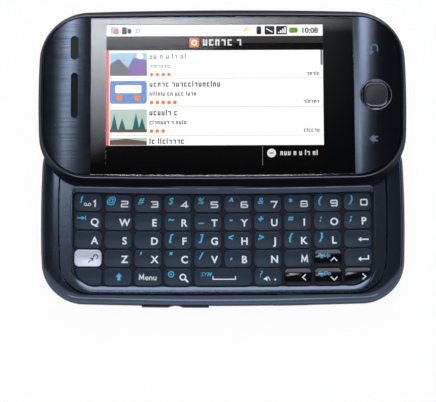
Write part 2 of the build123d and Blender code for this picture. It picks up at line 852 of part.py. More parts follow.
def make_slide_plate():
    plate = prism(plate_outline(0), z_slide_plate, z_slide_plate_top)
    below, above = z_lid - 1, z_slide_plate_top + 1
    for x in shoe_places:
        length = slide_travel + shoe_length + 2 * running
        plate = plate - slab(x, 0, shoe_stem + 2 * running, length, below, above)
    length = slide_travel + 2 * flex_thickness + 4 * loose
    return plate - slab(0, flex_y - slide_travel / 2, flex_width + 2 * loose, length, below, above)


def make_lid_board():
    board = prism(front_outline(loose), z_lid_board, z_lid_board_top)
    return board + post(nav_x, 0, nav_switch_radius, z_lid_board_top, z_nav_flange - nav_travel - switch_room)


def make_display_module():
    body = slab(0, 0, display_length, display_width, z_display, z_display_top)
    return fillet(body.edges().filter_by(Axis.Z), display_corner)


def make_touch_window():
    strip = block(-window_edge_x, window_edge_x, -far, far, z_window, z_window_top)
    glass = prism(front_outline(seam), z_window, z_window_top) & strip
    return chamfer(glass.faces().sort_by(Axis.Z)[-1].edges(), window_edge)


def make_end_panel(side):
    """An end panel: its face arches from the window to the rim."""
    radius = (end_panel_width ** 2 / 4 + crown_height ** 2) / (2 * crown_height)
    centre = side * (window_edge_x + end_panel_width / 2)
    barrel = Pos(centre, 0, z_crown - radius) * Rot(90, 0, 0) * Cylinder(radius, 2 * lid_width)
    start, end = window_edge_x + seam, lid_length
    blank = prism(front_outline(seam), z_end_panel, z_crown + 1) & block(
        min(side * start, side * end), max(side * start, side * end), -far, far, z_end_panel, z_crown + 1
    )
    return blank & barrel


def make_earpiece_panel():
    panel = make_end_panel(-1)
    panel = panel - prism(pill(slot_x, grille_y, grille_length, grille_width), z_lid, z_crown + 1)
    return panel - prism(pill(slot_x, sensor_y, sensor_length, sensor_width), z_lid, z_crown + 1)


def make_nav_panel():
    return make_end_panel(1) - post(nav_x, 0, nav_ring_radius + fit, z_lid, z_crown + 1)


def make_slot_insert(y, length, width):
    top = z_crown - slot_recess
    return prism(pill(slot_x, y, length - 2 * running, width - 2 * running), z_end_panel, top)


def make_receiver():
    low = z_lid_board_top + seat
    body = slab(slot_x, grille_y, receiver_width, receiver_length, low, low + receiver_height)
    return fillet(body.edges().filter_by(Axis.Z), receiver_corner)


def nav_outline(grow):
    return Pos(nav_x, 0) * RectangleRounded(nav_length + 2 * grow, nav_height + 2 * grow, nav_corner + grow)


def make_nav_ring():
    ring = post(nav_x, 0, nav_ring_radius, z_end_panel, z_crown)
    ring = fillet(ring.edges().sort_by(Axis.Z)[-1], nav_ring_edge)
    return ring - prism(nav_outline(fit), z_lid, z_crown + 1)


def make_nav_button():
    cap = prism(nav_outline(0), z_nav_flange, z_crown - running)
    cap = fillet(cap.faces().sort_by(Axis.Z)[-1].edges(), nav_edge)
    return cap + post(nav_x, 0, nav_flange_radius, z_nav_flange, z_nav_flange + nav_flange)


def make_flex_cable():
    """The flat cable from the base's board up through both slots and along to the lid's board."""
    low = z_slide_plate_top + running
    turn = low + flex_thickness
    end = flex_y + flex_reach
    rise = slab(0, flex_y, flex_width, flex_thickness, z_board_top + seat, turn)
    run = slab(0, flex_y + flex_reach / 2, flex_width, flex_reach + flex_thickness, low, turn)
    return rise + run + slab(0, end, flex_width, flex_thickness, low, z_lid_board - seat)


# ---------------------------------------------------------------- every piece by name
lid_lower, lid_upper = make_lid_form()
base_parts = {
    "rear_housing": make_rear_housing(),
    "front_frame": make_front_frame(),
    "keyboard_panel": make_keyboard_panel(),
    "battery_cover": make_battery_cover(),
    "battery": make_battery(),
    "main_board": make_main_board(),
    "dome_sheet": make_dome_sheet(),
    "key_mat": make_key_mat(),
    "key_lattice": make_key_lattice(),
    "board_shield": make_board_shield(),
    "side_switches": make_side_switches(),
    "card_holder": make_card_holder(),
    "camera_module": make_camera_module(),
    "camera_window": make_camera_window(),
    "flash_lamp": make_flash_lamp(),
    "audio_jack": make_audio_jack(),
    "usb_port": make_usb_port(),
    "usb_cover": make_usb_cover(),
    "loudspeaker": make_loudspeaker(),
    "vibration_motor": make_vibration_motor(),
    "slide_bracket": make_slide_bracket(),
    "housing_screws": make_housing_screws(),
    "volume_rocker": make_volume_rocker(),
    "camera_key": make_camera_key(),
    "power_key": make_power_key(),
    "flex_cable": make_flex_cable(),
}
lid_parts = {
    "lid_back": make_lid_back(lid_lower),
    "slide_plate": make_slide_plate(),
    "lid_frame": make_lid_frame(lid_upper),
    "lid_board": make_lid_board(),
    "display_module": make_display_module(),
    "touch_window": make_touch_window(),
    "earpiece_panel": make_earpiece_panel(),
    "earpiece_mesh": make_slot_insert(grille_y, grille_length, grille_width),
    "sensor_window": make_slot_insert(sensor_y, sensor_length, sensor_width),
    "receiver": make_receiver(),
    "nav_panel": make_nav_panel(),
    "nav_ring": make_nav_ring(),
    "nav_button": make_nav_button(),
}
parts.update(base_parts)
parts.update(make_keys())
parts.update({name: Pos(0, slide_travel, 0) * shape for name, shape in lid_parts.items()})

os.makedirs("parts", exist_ok=True)
for name, shape in parts.items():
    solids = shape if isinstance(shape, list) else [shape]
    label = solids[0] if len(solids) == 1 else Compound(children=solids)
    export_step(label, f"parts/{name}.step")
print(len(parts), "nodes")
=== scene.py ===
from contextlib import contextmanager
from math import atan2, cos, hypot, pi, radians, sin, sqrt

import bmesh
import bpy
from mathutils import Matrix, Vector


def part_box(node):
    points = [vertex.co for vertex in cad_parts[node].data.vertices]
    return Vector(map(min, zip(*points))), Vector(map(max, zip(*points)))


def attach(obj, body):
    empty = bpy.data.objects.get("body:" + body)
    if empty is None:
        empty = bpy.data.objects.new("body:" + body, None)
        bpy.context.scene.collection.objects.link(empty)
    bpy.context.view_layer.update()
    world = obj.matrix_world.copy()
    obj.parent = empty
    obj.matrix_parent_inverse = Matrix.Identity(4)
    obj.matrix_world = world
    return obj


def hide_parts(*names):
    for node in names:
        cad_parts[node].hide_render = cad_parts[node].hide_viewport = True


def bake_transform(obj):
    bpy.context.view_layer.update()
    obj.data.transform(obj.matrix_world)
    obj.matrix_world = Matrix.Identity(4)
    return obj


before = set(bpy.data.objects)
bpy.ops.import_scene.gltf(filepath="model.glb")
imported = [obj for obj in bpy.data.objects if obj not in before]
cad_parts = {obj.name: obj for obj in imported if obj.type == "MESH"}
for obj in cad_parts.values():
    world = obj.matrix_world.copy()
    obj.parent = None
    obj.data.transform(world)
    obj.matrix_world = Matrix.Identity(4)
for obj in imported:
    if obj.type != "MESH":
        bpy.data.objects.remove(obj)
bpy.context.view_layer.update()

bl_info = {
    "name": "Slider phone",
    "version": (1, 0, 0),
    "blender": (4, 5, 0),
    "location": "View3D > Sidebar > Slider phone",
    "description": "Models and paints a landscape slider phone around its packed frame",
    "category": "Object",
}

MM = 0.001
LID_LOW, LID_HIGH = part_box("lid_frame")
LID_Y = (LID_LOW.y + LID_HIGH.y) / 2
WINDOW_LOW, WINDOW_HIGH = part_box("touch_window")
PANEL_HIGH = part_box("nav_panel")[1]
DISPLAY_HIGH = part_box("display_module")[1]
KEY_LOW, KEY_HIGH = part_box("letter_keys_q_to_t")
SCREEN_X, SCREEN_Y = -2.25 * MM, 0.42 * MM        # middle of the display's lit part, from the lid's centre


# ---------------------------------------------------------------- settings
def paint(name, description, default):
    """A colour as a screen shows it."""
    style = {"subtype": "COLOR_GAMMA", "size": 3, "min": 0, "max": 1}
    return bpy.props.FloatVectorProperty(name=name, description=description, default=default, **style)


def length(name, description, default):
    """A size given in millimetres."""
    style = {"unit": "LENGTH", "subtype": "DISTANCE", "precision": 5}
    return bpy.props.FloatProperty(name=name, description=description, default=default * MM, **style)


class PhonePaints(bpy.types.PropertyGroup):
    """Colours of the phone's finishes"""

    slate: paint("Slate", "Satin paint of the base and its keyboard panel", (0.37, 0.41, 0.475))
    graphite: paint("Graphite", "Key caps", (0.138, 0.19, 0.25))
    lattice: paint("Lattice", "Web between the keys", (0.05, 0.075, 0.11))
    lacquer: paint("Lacquer", "Gloss shell of the lid", (0.035, 0.045, 0.07))
    metal: paint("Brushed metal", "End panels of the lid", (0.29, 0.32, 0.365))
    glass: paint("Window print", "Black print under the touch window", (0.022, 0.022, 0.027))
    silver: paint("Silver", "Function key and bright trim", (0.86, 0.875, 0.93))
    legend: paint("Legends", "Letters and numbers on the keys", (0.92, 0.94, 0.96))
    accent: paint("Second legends", "Second signs on the keys", (0.24, 0.72, 0.90))
    mark: paint("Touch marks", "Back and home marks on the end panel", (0.33, 0.42, 0.49))
    rubber: paint("Soft black", "Battery cover and inner plastics", (0.085, 0.095, 0.115))


class PhoneSizes(bpy.types.PropertyGroup):
    """Sizes of the phone's keyboard, legends and trim"""

    column_pitch: length("Column pitch", "From key to key along a row", 8.84)
    row_pitch: length("Row pitch", "From row to row", 5.45)
    key_width: length("Key width", "Length of a single key", 7.95)
    key_height: length("Key height", "Depth of a key from far to near", 5.0)
    key_corner: length("Key corner", "Radius of a key's corners in plan", 1.35)
    key_edge: length("Key edge", "Rounding of a key's upper edge", 0.2)
    arrow_crown: length("Arrow key crown", "How far a gloss key's far edge lies below its top", 0.5)
    field_corner: length("Field corner", "Radius of the keyboard's near corners", 6.2)
    key_dish: length("Key dish", "How far a letter key's middle lies below its long edges", 0.24)
    rim_end_inset: length("Rim inset at the ends", "From the lid's widest line in to its rim", 0.75)
    rim_side_inset: length("Rim inset at the sides", "From the lid's widest line in to its rim", 1.65)
    rim_band: length("Rim band", "From the rim in to the front pieces", 0.95)
    screen_width: length("Screen width", "Lit part of the display, along the phone", 64.1)
    screen_height: length("Screen height", "Lit part of the display, across the phone", 42.35)
    legend_height: length("Legend height", "Height of the letters on the keys", 2.05)
    sign_height: length("Second legend height", "Height of the second signs", 1.85)
    print_height: length("Print thickness", "How far printed signs stand above a surface", 0.015)


def paints():
    return bpy.context.scene.phone_paints


def sizes():
    return bpy.context.scene.phone_sizes


# ---------------------------------------------------------------- finishes
def linear(colour):
    return tuple(c / 12.92 if c <= 0.04045 else ((c + 0.055) / 1.055) ** 2.4 for c in colour)


def add_node(tree, kind, inputs=(), **settings):
    """A shader node with its settings; its inputs, by name or number, take values or links to sockets."""
    node = tree.nodes.new(kind)
    for key, value in settings.items():
        setattr(node, key, value)
    for key, value in dict(inputs).items():
        if isinstance(value, bpy.types.NodeSocket):
            tree.links.new(value, node.inputs[key])
        else:
            node.inputs[key].default_value = value
    return node


def combine(tree, operation, first, second):
    """The result of a sum on two values or sockets."""
    return add_node(tree, "ShaderNodeMath", {0: first, 1: second}, operation=operation).outputs[0]


def mix_shaders(tree, share, first, second):
    """One shader that goes over into another, by a share of 0 to 1."""
    return add_node(tree, "ShaderNodeMixShader", {0: share, 1: first, 2: second}).outputs[0]


def finish(colour, rough=0.4, metal=0.0, coat=0.0, coat_rough=0.05, level=0.5, edge=1.0, **extra):
    """A new material with one colour, set on its shader; edge dims its reflections at grazing angles."""
    material = bpy.data.materials.new("finish")
    material.use_nodes = True
    shader = material.node_tree.nodes["Principled BSDF"]
    values = {
        "Base Color": (*linear(colour), 1),
        "Roughness": rough,
        "Metallic": metal,
        "Coat Weight": coat,
        "Coat Roughness": coat_rough,
        "Specular IOR Level": level,
        "Specular Tint": (edge, edge, edge, 1),
    }
    values.update(extra)
    for key, value in values.items():
        shader.inputs[key].default_value = value
    return material


def grain(material, scale, tone=0.08, rough=0.0, bump=0.0, stretch=(1, 1, 1), detail=3, socket="Base Color"):
    """Fine noise in a finish's tone, roughness and relief; scale is in grains per metre."""
    tree = material.node_tree
    shader = tree.nodes["Principled BSDF"]
    coords = add_node(tree, "ShaderNodeTexCoord").outputs["Object"]
    turned = add_node(tree, "ShaderNodeMapping", {"Vector": coords, "Scale": stretch}).outputs["Vector"]
    spots = add_node(tree, "ShaderNodeTexNoise", {"Vector": turned, "Scale": scale, "Detail": detail})
    noise = spots.outputs["Fac"]
    if tone:
        base = shader.inputs[socket].default_value[:3]
        dark = (*(max(c * (1 - 2 * tone), 0) for c in base), 1)
        light = (*(min(c * (1 + 2 * tone), 1) for c in base), 1)
        mix = add_node(tree, "ShaderNodeMix", {"Factor": noise, "A": dark, "B": light}, data_type="RGBA")
        tree.links.new(mix.outputs["Result"], shader.inputs[socket])
    if rough:
        middle = shader.inputs["Roughness"].default_value
        band = {"Value": noise, "To Min": middle - rough, "To Max": middle + rough}
        spread = add_node(tree, "ShaderNodeMapRange", band)
        tree.links.new(spread.outputs["Result"], shader.inputs["Roughness"])
    if bump:
        relief = add_node(tree, "ShaderNodeBump", {"Height": noise, "Strength": 0.6, "Distance": bump * MM})
        tree.links.new(relief.outputs["Normal"], shader.inputs["Normal"])
    return material


ALONG_X = (0.02, 1, 1)       # a grain drawn out along the phone
ALONG_Y = (1, 0.02, 1)       # and across it


def make_finishes():
    """Every finish of the phone by name."""
    p = paints()
    clear = {"Transmission Weight": 1.0, "IOR": 1.5}
    clear_low = {"Transmission Weight": 1.0, "IOR": 1.2}
    # graphite lightened 1.55 times for the caps' upper edges: a painted highlight
    brow = tuple(1.55 * c for c in p.graphite)
    # the end panels' metal darkened for the right-hand panel: painted shade
    shaded_metal = tuple(0.86 * c for c in p.metal)
    return {
        "slate_frame": grain(finish(p.slate, 0.13, 0.92, edge=0.3), 9000, 0.12, 0.04, 0.0015, ALONG_Y),
        "slate_band": grain(finish(p.slate, 0.34, 0.85, edge=0.25), 7000, 0.1, 0.05, 0.003, ALONG_X),
        "slate_panel": grain(finish(p.slate, 0.17, 0.95), 9000, 0.1, 0.04, 0.002, ALONG_X),
        # slate darkened 3 to 5 times: painted shade for the keyboard's far slope under the lid
        "slate_shade": grain(finish((0.2, 0.23, 0.28), 0.3, 0.9), 9000, 0.08, 0.04, 0.002, ALONG_X),
        "soft_black": grain(finish(p.rubber, 0.62), 5200, 0.1, 0.06, 0.02),
        "key_satin": grain(finish(p.graphite, 0.36, level=0.3), 6500, 0.05, 0.04),
        "key_gloss": grain(finish(p.lacquer, 0.08, level=0.55), 3000, 0.05, 0.02),
        "sensor_black": grain(finish((0.1, 0.1, 0.115), 0.42, level=0.3), 5000, 0.1, 0.05),
        "key_silver": grain(finish(p.silver, 0.3, 0.35), 9000, 0.03, 0.05, 0.001, ALONG_X),
        "key_brow": grain(finish(brow, 0.3, level=0.5), 6500, 0.05, 0.04),
        "web": grain(finish(p.lattice, 0.5, level=0.25), 8000, 0.08, 0.05, 0.004),
        "silicone": grain(finish(p.rubber, 0.7), 6000, 0.08, 0.05, 0.004),
        "lid_lacquer": grain(finish(p.lacquer, 0.14, IOR=1.25), 2500, 0.06, 0.02),
        "lid_wall": grain(finish(p.lacquer, 0.5, IOR=1.15), 2500, 0.06, 0.05),
        "lid_back_paint": grain(finish(p.rubber, 0.35, 0.2), 5000, 0.08, 0.05, 0.004),
        "brushed_metal": grain(finish(p.metal, 0.18, 0.95), 2300, 0.42, 0.06, 0.008, ALONG_X, 8),
        "satin_metal": grain(finish(shaded_metal, 0.13, 0.95), 5200, 0.1, 0.03, 0.002, ALONG_X),
        "black_print": grain(finish(p.glass, 0.8, level=0.0), 2000, 0.2, 0.05),
        "window_glass": grain(finish((1, 1, 1), 0.0, **clear), 60, 0.01),
        "display_glass": grain(finish((1, 1, 1), 0.0, **clear_low), 60, 0.01),
        # a brighter metal band laid along edges: painted highlight lines
        "edge_line": grain(finish((0.42, 0.44, 0.5), 0.22, 0.9), 9000, 0.1, 0.05, 0.0, ALONG_X),
        "tinted_glass": grain(finish((0.86, 0.87, 0.9), 0.02, **clear), 400, 0.05),
        "trim": grain(finish(p.silver, 0.16, 1.0), 12000, 0.05, 0.04, 0.0, ALONG_X),
        "nav_gloss": grain(finish(p.lacquer, 0.1, coat=1.0, coat_rough=0.02), 2500, 0.08, 0.02),
        "nav_satin": grain(finish((0.17, 0.18, 0.205), 0.34, 0.3), 9000, 0.08, 0.06, 0.003),
        "legend_white": grain(finish(p.legend, 0.45), 5000, 0.02, 0.05),
        "legend_accent": grain(finish(p.accent, 0.45), 5000, 0.03, 0.05),
        "legend_grey": grain(finish((0.3, 0.31, 0.35), 0.45), 5000, 0.03, 0.05),
        "touch_print": grain(finish(p.mark, 0.4, 0.2), 5000, 0.04, 0.05),
        "mesh_black": grain(finish((0.36, 0.38, 0.42), 0.4, 0.6), 9000, 0.1, 0.08),
        "speaker_cloth": grain(finish((0.16, 0.165, 0.18), 0.55, 0.3), 9000, 0.15, 0.08, 0.006),
        "void_black": grain(finish((0.012, 0.012, 0.014), 0.9), 3000, 0.2),
        "steel": grain(finish((0.62, 0.63, 0.65), 0.28, 1.0), 9000, 0.1, 0.08, 0.002, ALONG_X),
        "shield_tin": grain(finish((0.7, 0.7, 0.69), 0.35, 1.0), 4000, 0.08, 0.1, 0.004),
        "screw_steel": grain(finish((0.35, 0.36, 0.38), 0.3, 1.0), 12000, 0.1, 0.08, 0.002),
        "gold": grain(finish((0.83, 0.68, 0.38), 0.25, 1.0), 9000, 0.06, 0.06),
        "board_green": grain(finish((0.07, 0.22, 0.16), 0.45), 2500, 0.2, 0.1, 0.01),
        "film_amber": grain(finish((0.55, 0.33, 0.12), 0.35), 4000, 0.12, 0.05, 0.003, ALONG_Y),
        "dome_film": grain(finish((0.72, 0.74, 0.74), 0.4, 0.3), 4000, 0.1, 0.08),
        "cell_wrap": grain(finish((0.2, 0.21, 0.23), 0.5), 3500, 0.1, 0.06, 0.006),
        "module_black": grain(finish((0.06, 0.06, 0.07), 0.5), 6000, 0.12, 0.08, 0.004),
        "lens_coat": grain(finish((0.2, 0.16, 0.42), 0.05, 0.5, coat=1.0, coat_rough=0.0), 900, 0.3),
        "lamp_gel": grain(finish((0.93, 0.86, 0.45), 0.25, coat=0.6), 3000, 0.08, 0.1, 0.02),
    }


LIT_COLOURS = {
    "white": (0.985, 0.985, 0.985),
    "coal": (0.21, 0.2, 0.2),
    "black": (0.03, 0.03, 0.03),
    "red": (0.93, 0.42, 0.36),
    "line": (0.72, 0.72, 0.72),
    "grey": (0.5, 0.5, 0.5),
    "ink": (0.16, 0.16, 0.16),
    "pale": (0.86, 0.86, 0.86),
    "orange": (0.93, 0.5, 0.2),
    "peach": (0.96, 0.84, 0.68),
    "sky": (0.62, 0.78, 0.86),
    "slate": (0.42, 0.42, 0.46),
    "violet": (0.5, 0.4, 0.66),
    "blue": (0.4, 0.56, 0.82),
    "mist": (0.7, 0.78, 0.74),
    "teal": (0.16, 0.4, 0.42),
    "earth": (0.42, 0.34, 0.32),
    "green": (0.4, 0.6, 0.16),
}


def lit(colour):
    """A lit part of the display: its own light, with the faint unevenness of a backlight."""
    material = finish((0.01, 0.01, 0.01), 0.8, level=0.0)
    shader = material.node_tree.nodes["Principled BSDF"]
    shader.inputs["Emission Color"].default_value = (*linear(colour), 1)
    shader.inputs["Emission Strength"].default_value = 1.1
    return grain(material, 900, 0.012, socket="Emission Color")


FINISHES = {}


def dress(node, finish_name):
    """Give a CAD node a finish in its own material slots."""
    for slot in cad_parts[node].material_slots:
        slot.material = FINISHES[finish_name]


# ---------------------------------------------------------------- modelling helpers
def select_only(*objects):
    bpy.ops.object.select_all(action="DESELECT")
    for obj in objects:
        obj.select_set(True)
    bpy.context.view_layer.objects.active = objects[-1]


@contextmanager
def editing(obj):
    """The object's mesh in edit mode, with nothing selected."""
    select_only(obj)
    bpy.ops.object.mode_set(mode="EDIT")
    bpy.ops.mesh.select_mode(type="VERT")
    bpy.ops.mesh.select_all(action="DESELECT")
    try:
        yield obj.data
    finally:
        bpy.ops.object.mode_set(mode="OBJECT")


def pick(mesh, kind, test):
    """Select the vertices, edges or faces that pass a test; says how many."""
    bpy.ops.mesh.select_mode(type={"verts": "VERT", "edges": "EDGE", "faces": "FACE"}[kind])
    bpy.ops.mesh.select_all(action="DESELECT")
    shape = bmesh.from_edit_mesh(mesh)
    chosen = [e for e in getattr(shape, kind) if test(e)]
    for element in chosen:
        element.select = True
    shape.select_flush_mode()
    bmesh.update_edit_mesh(mesh)
    return len(chosen)


def is_upright(edge):
    a, b = edge.verts
    return hypot(a.co.x - b.co.x, a.co.y - b.co.y) < 1e-7


def cut(mesh, place, normal, **settings):
    """Slice the whole mesh with a plane."""
    bpy.ops.mesh.select_all(action="SELECT")
    bpy.ops.mesh.bisect(plane_co=place, plane_no=normal, threshold=1e-7, **settings)


def trim(mesh, place, normal, closed=True):
    """Drop what lies beyond a plane, and close the cut face or leave it open."""
    cut(mesh, place, normal, clear_outer=True, use_fill=closed)


def start_box(width, depth, low, high, x=0.0, y=0.0):
    """A box from a cube primitive, sized in its mesh."""
    bpy.ops.mesh.primitive_cube_add(size=1)
    box = bpy.context.object
    size = Matrix.Diagonal((width, depth, high - low, 1))
    box.data.transform(Matrix.Translation((x, y, (low + high) / 2)) @ size)
    return box


def bevel_edges(mesh, test, width, segments):
    if pick(mesh, "edges", test) == 0:
        raise RuntimeError("no edge to bevel")
    bpy.ops.mesh.bevel(offset=width, segments=segments, affect="EDGES", clamp_overlap=True)


def rounded_box(width, depth, low, high, corner, edge, x=0.0, y=0.0, segments=8):
    """A box with round upright corners and a rounded upper edge."""
    box = start_box(width, depth, low, high, x, y)
    with editing(box) as mesh:
        bevel_edges(mesh, is_upright, corner, segments)
        if edge:
            bevel_edges(mesh, lambda e: all(abs(v.co.z - high) < 1e-7 for v in e.verts), edge, 3)
    return box


def smooth(obj, angle=35):
    select_only(obj)
    bpy.ops.object.shade_smooth_by_angle(angle=radians(angle))
    return obj


def apply_modifier(obj, kind, **settings):
    select_only(obj)
    modifier = obj.modifiers.new(kind.title(), kind)
    for key, value in settings.items():
        setattr(modifier, key, value)
    bpy.ops.object.modifier_apply(modifier=modifier.name)


def carve(obj, cutter):
    """Cut one solid out of another, and drop the cutter."""
    apply_modifier(obj, "BOOLEAN", operation="DIFFERENCE", object=cutter, solver="EXACT")
    bpy.data.objects.remove(cutter)


def join(objects):
    select_only(*objects)
    bpy.ops.object.join()
    return bpy.context.object


def paint_all(obj, *names):
    obj.data.materials.clear()
    for name in names:
        obj.data.materials.append(FINISHES[name])
    return obj


def paint_where(obj, finish_name, test):
    """Give the faces that pass a test a finish of their own."""
    obj.data.materials.append(FINISHES[finish_name])
    last = len(obj.data.materials) - 1
    for face in obj.data.polygons:
        if test(face):
            face.material_index = last


def install(obj, name, body, slot, *replaced):
    """Name a finished piece, fix it to its body and let it stand for its CAD nodes."""
    obj.name = obj.data.name = name
    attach(obj, body)
    if replaced:
        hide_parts(*replaced)
    return obj


def welded_copy(node, finish_name):
    """A CAD node's shape as a piece of its own: one skin, shaded smooth."""
    obj = bpy.data.objects.new(node + "_skin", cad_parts[node].data.copy())
    bpy.context.scene.collection.objects.link(obj)
    select_only(obj)
    bpy.ops.mesh.customdata_custom_splitnormals_clear()
    with editing(obj):
        bpy.ops.mesh.select_all(action="SELECT")
        bpy.ops.mesh.remove_doubles(threshold=1e-6)
    return paint_all(smooth(obj, 30), finish_name)


def bowed_ring(length, width, end_bow, side_bow, corner, steps=(5, 12, 10)):
    """A rectangle with bowed ends and sides and round corners, as points round its middle."""
    x, y = length / 2, width / 2
    end_radius = ((y - side_bow) ** 2 + end_bow ** 2) / (2 * end_bow)
    side_radius = ((x - end_bow) ** 2 + side_bow ** 2) / (2 * side_bow)
    end_centre, side_centre = Vector((x - end_radius, 0)), Vector((0, y - side_radius))
    a, b = end_radius - corner, side_radius - corner
    apart = side_centre - end_centre
    along = (a * a - b * b + apart.length_squared) / (2 * apart.length)
    across = sqrt(a * a - along * along)
    unit = apart.normalized()
    found = [end_centre + unit * along + Vector((-unit.y, unit.x)) * side * across for side in (1, -1)]
    centre = max(found, key=lambda point: point.x + point.y)
    end_turn = atan2(centre.y, centre.x - end_centre.x)
    side_turn = atan2(centre.y - side_centre.y, centre.x)
    arcs = ((end_centre, end_radius, 0, end_turn), (centre, corner, end_turn, side_turn),
            (side_centre, side_radius, side_turn, pi / 2))
    quarter = []
    for (middle_point, radius, start, stop), count in zip(arcs, steps):
        for k in range(count):
            turn = start + (stop - start) * k / count
            quarter.append(middle_point + radius * Vector((cos(turn), sin(turn))))
    top = Vector((0, y))
    left = [Vector((-p.x, p.y)) for p in reversed(quarter[1:])]
    upper = quarter + [top] + left
    lower = [Vector((-p.x, -p.y)) for p in upper]
    return upper + lower


def at_height(points, z):
    """Ring points in millimetres, lifted to a height in millimetres, as places in metres."""
    return [Vector((p.x, p.y, z)) * MM for p in points]


def between(ring_a, ring_b, share):
    return [a.lerp(b, share) for a, b in zip(ring_a, ring_b)]


def loft_rings(rings, capped=False):
    """A closed skin through rings of places: its last ring falls on the first, or both ends are capped."""
    bpy.ops.mesh.primitive_circle_add(vertices=len(rings[0]), radius=1)
    skin = bpy.context.object
    for vertex, spot in zip(skin.data.vertices, rings[0]):
        vertex.co = spot
    with editing(skin) as mesh:
        bpy.ops.mesh.select_all(action="SELECT")
        order = {tuple(v.co): k for k, v in enumerate(bmesh.from_edit_mesh(mesh).verts)}
        for ring in rings[1:]:
            bpy.ops.mesh.extrude_region_move()
            shape = bmesh.from_edit_mesh(mesh)
            moved = {}
            for vertex in [v for v in shape.verts if v.select]:
                place = order[tuple(vertex.co)]
                vertex.co = ring[place]
                moved[tuple(vertex.co)] = place
            order = moved
            bmesh.update_edit_mesh(mesh)
        if capped:
            bpy.ops.mesh.select_all(action="DESELECT")
            bpy.ops.mesh.select_non_manifold()
            bpy.ops.mesh.edge_face_add()
        bpy.ops.mesh.select_all(action="SELECT")
        bpy.ops.mesh.remove_doubles(threshold=1e-7)
        bpy.ops.mesh.normals_make_consistent(inside=False)
    return skin


def prism_from(points, low, high):
    """An upright prism on a ring of points in millimetres."""
    bpy.ops.mesh.primitive_circle_add(vertices=len(points), radius=1, fill_type="NGON")
    prism = bpy.context.object
    for vertex, spot in zip(prism.data.vertices, points):
        vertex.co = (spot[0] * MM, spot[1] * MM, low)
    with editing(prism):
        bpy.ops.mesh.select_all(action="SELECT")
        bpy.ops.mesh.extrude_region_move(TRANSFORM_OT_translate={"value": (0, 0, high - low)})
        bpy.ops.mesh.select_all(action="SELECT")
        bpy.ops.mesh.normals_make_consistent(inside=False)
    return prism


def shift(obj, x=0.0, y=0.0, z=0.0):
    obj.data.transform(Matrix.Translation((x, y, z)))
    return obj


# ---------------------------------------------------------------- printed signs
def flat_mesh(outlines):
    """A thin sheet cut to closed outlines in millimetres; an outline inside another is a hole."""
    curve = bpy.data.curves.new("outline", "CURVE")
    curve.dimensions, curve.fill_mode, curve.extrude = "2D", "BOTH", 0.5
    for points in outlines:
        spline = curve.splines.new("POLY")
        spline.points.add(len(points) - 1)
        for spot, (x, y) in zip(spline.points, points):
            spot.co = (x, y, 0, 1)
        spline.use_cyclic_u = True
    obj = bpy.data.objects.new("outline", curve)
    bpy.context.scene.collection.objects.link(obj)
    select_only(obj)
    bpy.ops.object.convert(target="MESH")
    return bpy.context.object


def text_mesh(text, height, bold=0.015, stretch=1.0, slant=0.0):
    """A word or sign as a thin sheet, in millimetres, with its middle at the origin."""
    bpy.ops.object.text_add()
    sign = bpy.context.object
    sign.data.body = text
    sign.data.offset, sign.data.shear, sign.data.resolution_u = bold, slant, 4
    sign.data.extrude = 0.5
    bpy.ops.object.convert(target="MESH")
    sign = bpy.context.object
    spots = [v.co for v in sign.data.vertices]
    middle_x = (min(c.x for c in spots) + max(c.x for c in spots)) / 2
    cap_middle, cap_height = 0.343, 0.686
    size = height / cap_height
    place = Matrix.Translation((-middle_x, -cap_middle, 0))
    sign.data.transform(Matrix.Diagonal((size * stretch, size, 1, 1)) @ place)
    return sign


def stroke(points, width):
    """Outline of a line of one width through the points, with mitred turns."""
    line = [Vector(p) for p in points]
    left, right = [], []
    for k, spot in enumerate(line):
        before = (spot - line[k - 1]).normalized() if k else (line[1] - spot).normalized()
        after = (line[k + 1] - spot).normalized() if k + 1 < len(line) else before
        tangent = (before + after).normalized()
        normal = Vector((-tangent.y, tangent.x))
        reach = width / 2 / max(normal.dot(Vector((-before.y, before.x))), 0.4)
        left.append(spot + normal * reach)
        right.append(spot - normal * reach)
    return [tuple(p) for p in left + right[::-1]]


def circle(radius, x=0.0, y=0.0, count=24):
    turns = [2 * pi * k / count for k in range(count)]
    return [(x + radius * cos(turn), y + radius * sin(turn)) for turn in turns]


def ring(radius, width, x=0.0, y=0.0):
    return [circle(radius + width / 2, x, y), circle(radius - width / 2, x, y)]


def arc(radius, start, stop, x=0.0, y=0.0, count=10):
    """Points along part of a circle, from one angle to another in degrees."""
    turns = [radians(start + (stop - start) * k / count) for k in range(count + 1)]
    return [(x + radius * cos(t), y + radius * sin(t)) for t in turns]


def soft_box(width, height, corner, x=0.0, y=0.0):
    """Outline of a box with round corners, in 24 points as a circle's."""
    points = []
    for k, (side_x, side_y) in enumerate(((1, 1), (-1, 1), (-1, -1), (1, -1))):
        middle_x, middle_y = x + side_x * (width / 2 - corner), y + side_y * (height / 2 - corner)
        points += arc(corner, 90 * k, 90 * k + 90, middle_x, middle_y, 5)
    return points


def soft_ring(width, height, x, y, line=0.4):
    return [soft_box(width, height, 0.42, x, y), soft_box(width - 2 * line, height - 2 * line, 0.1, x, y)]


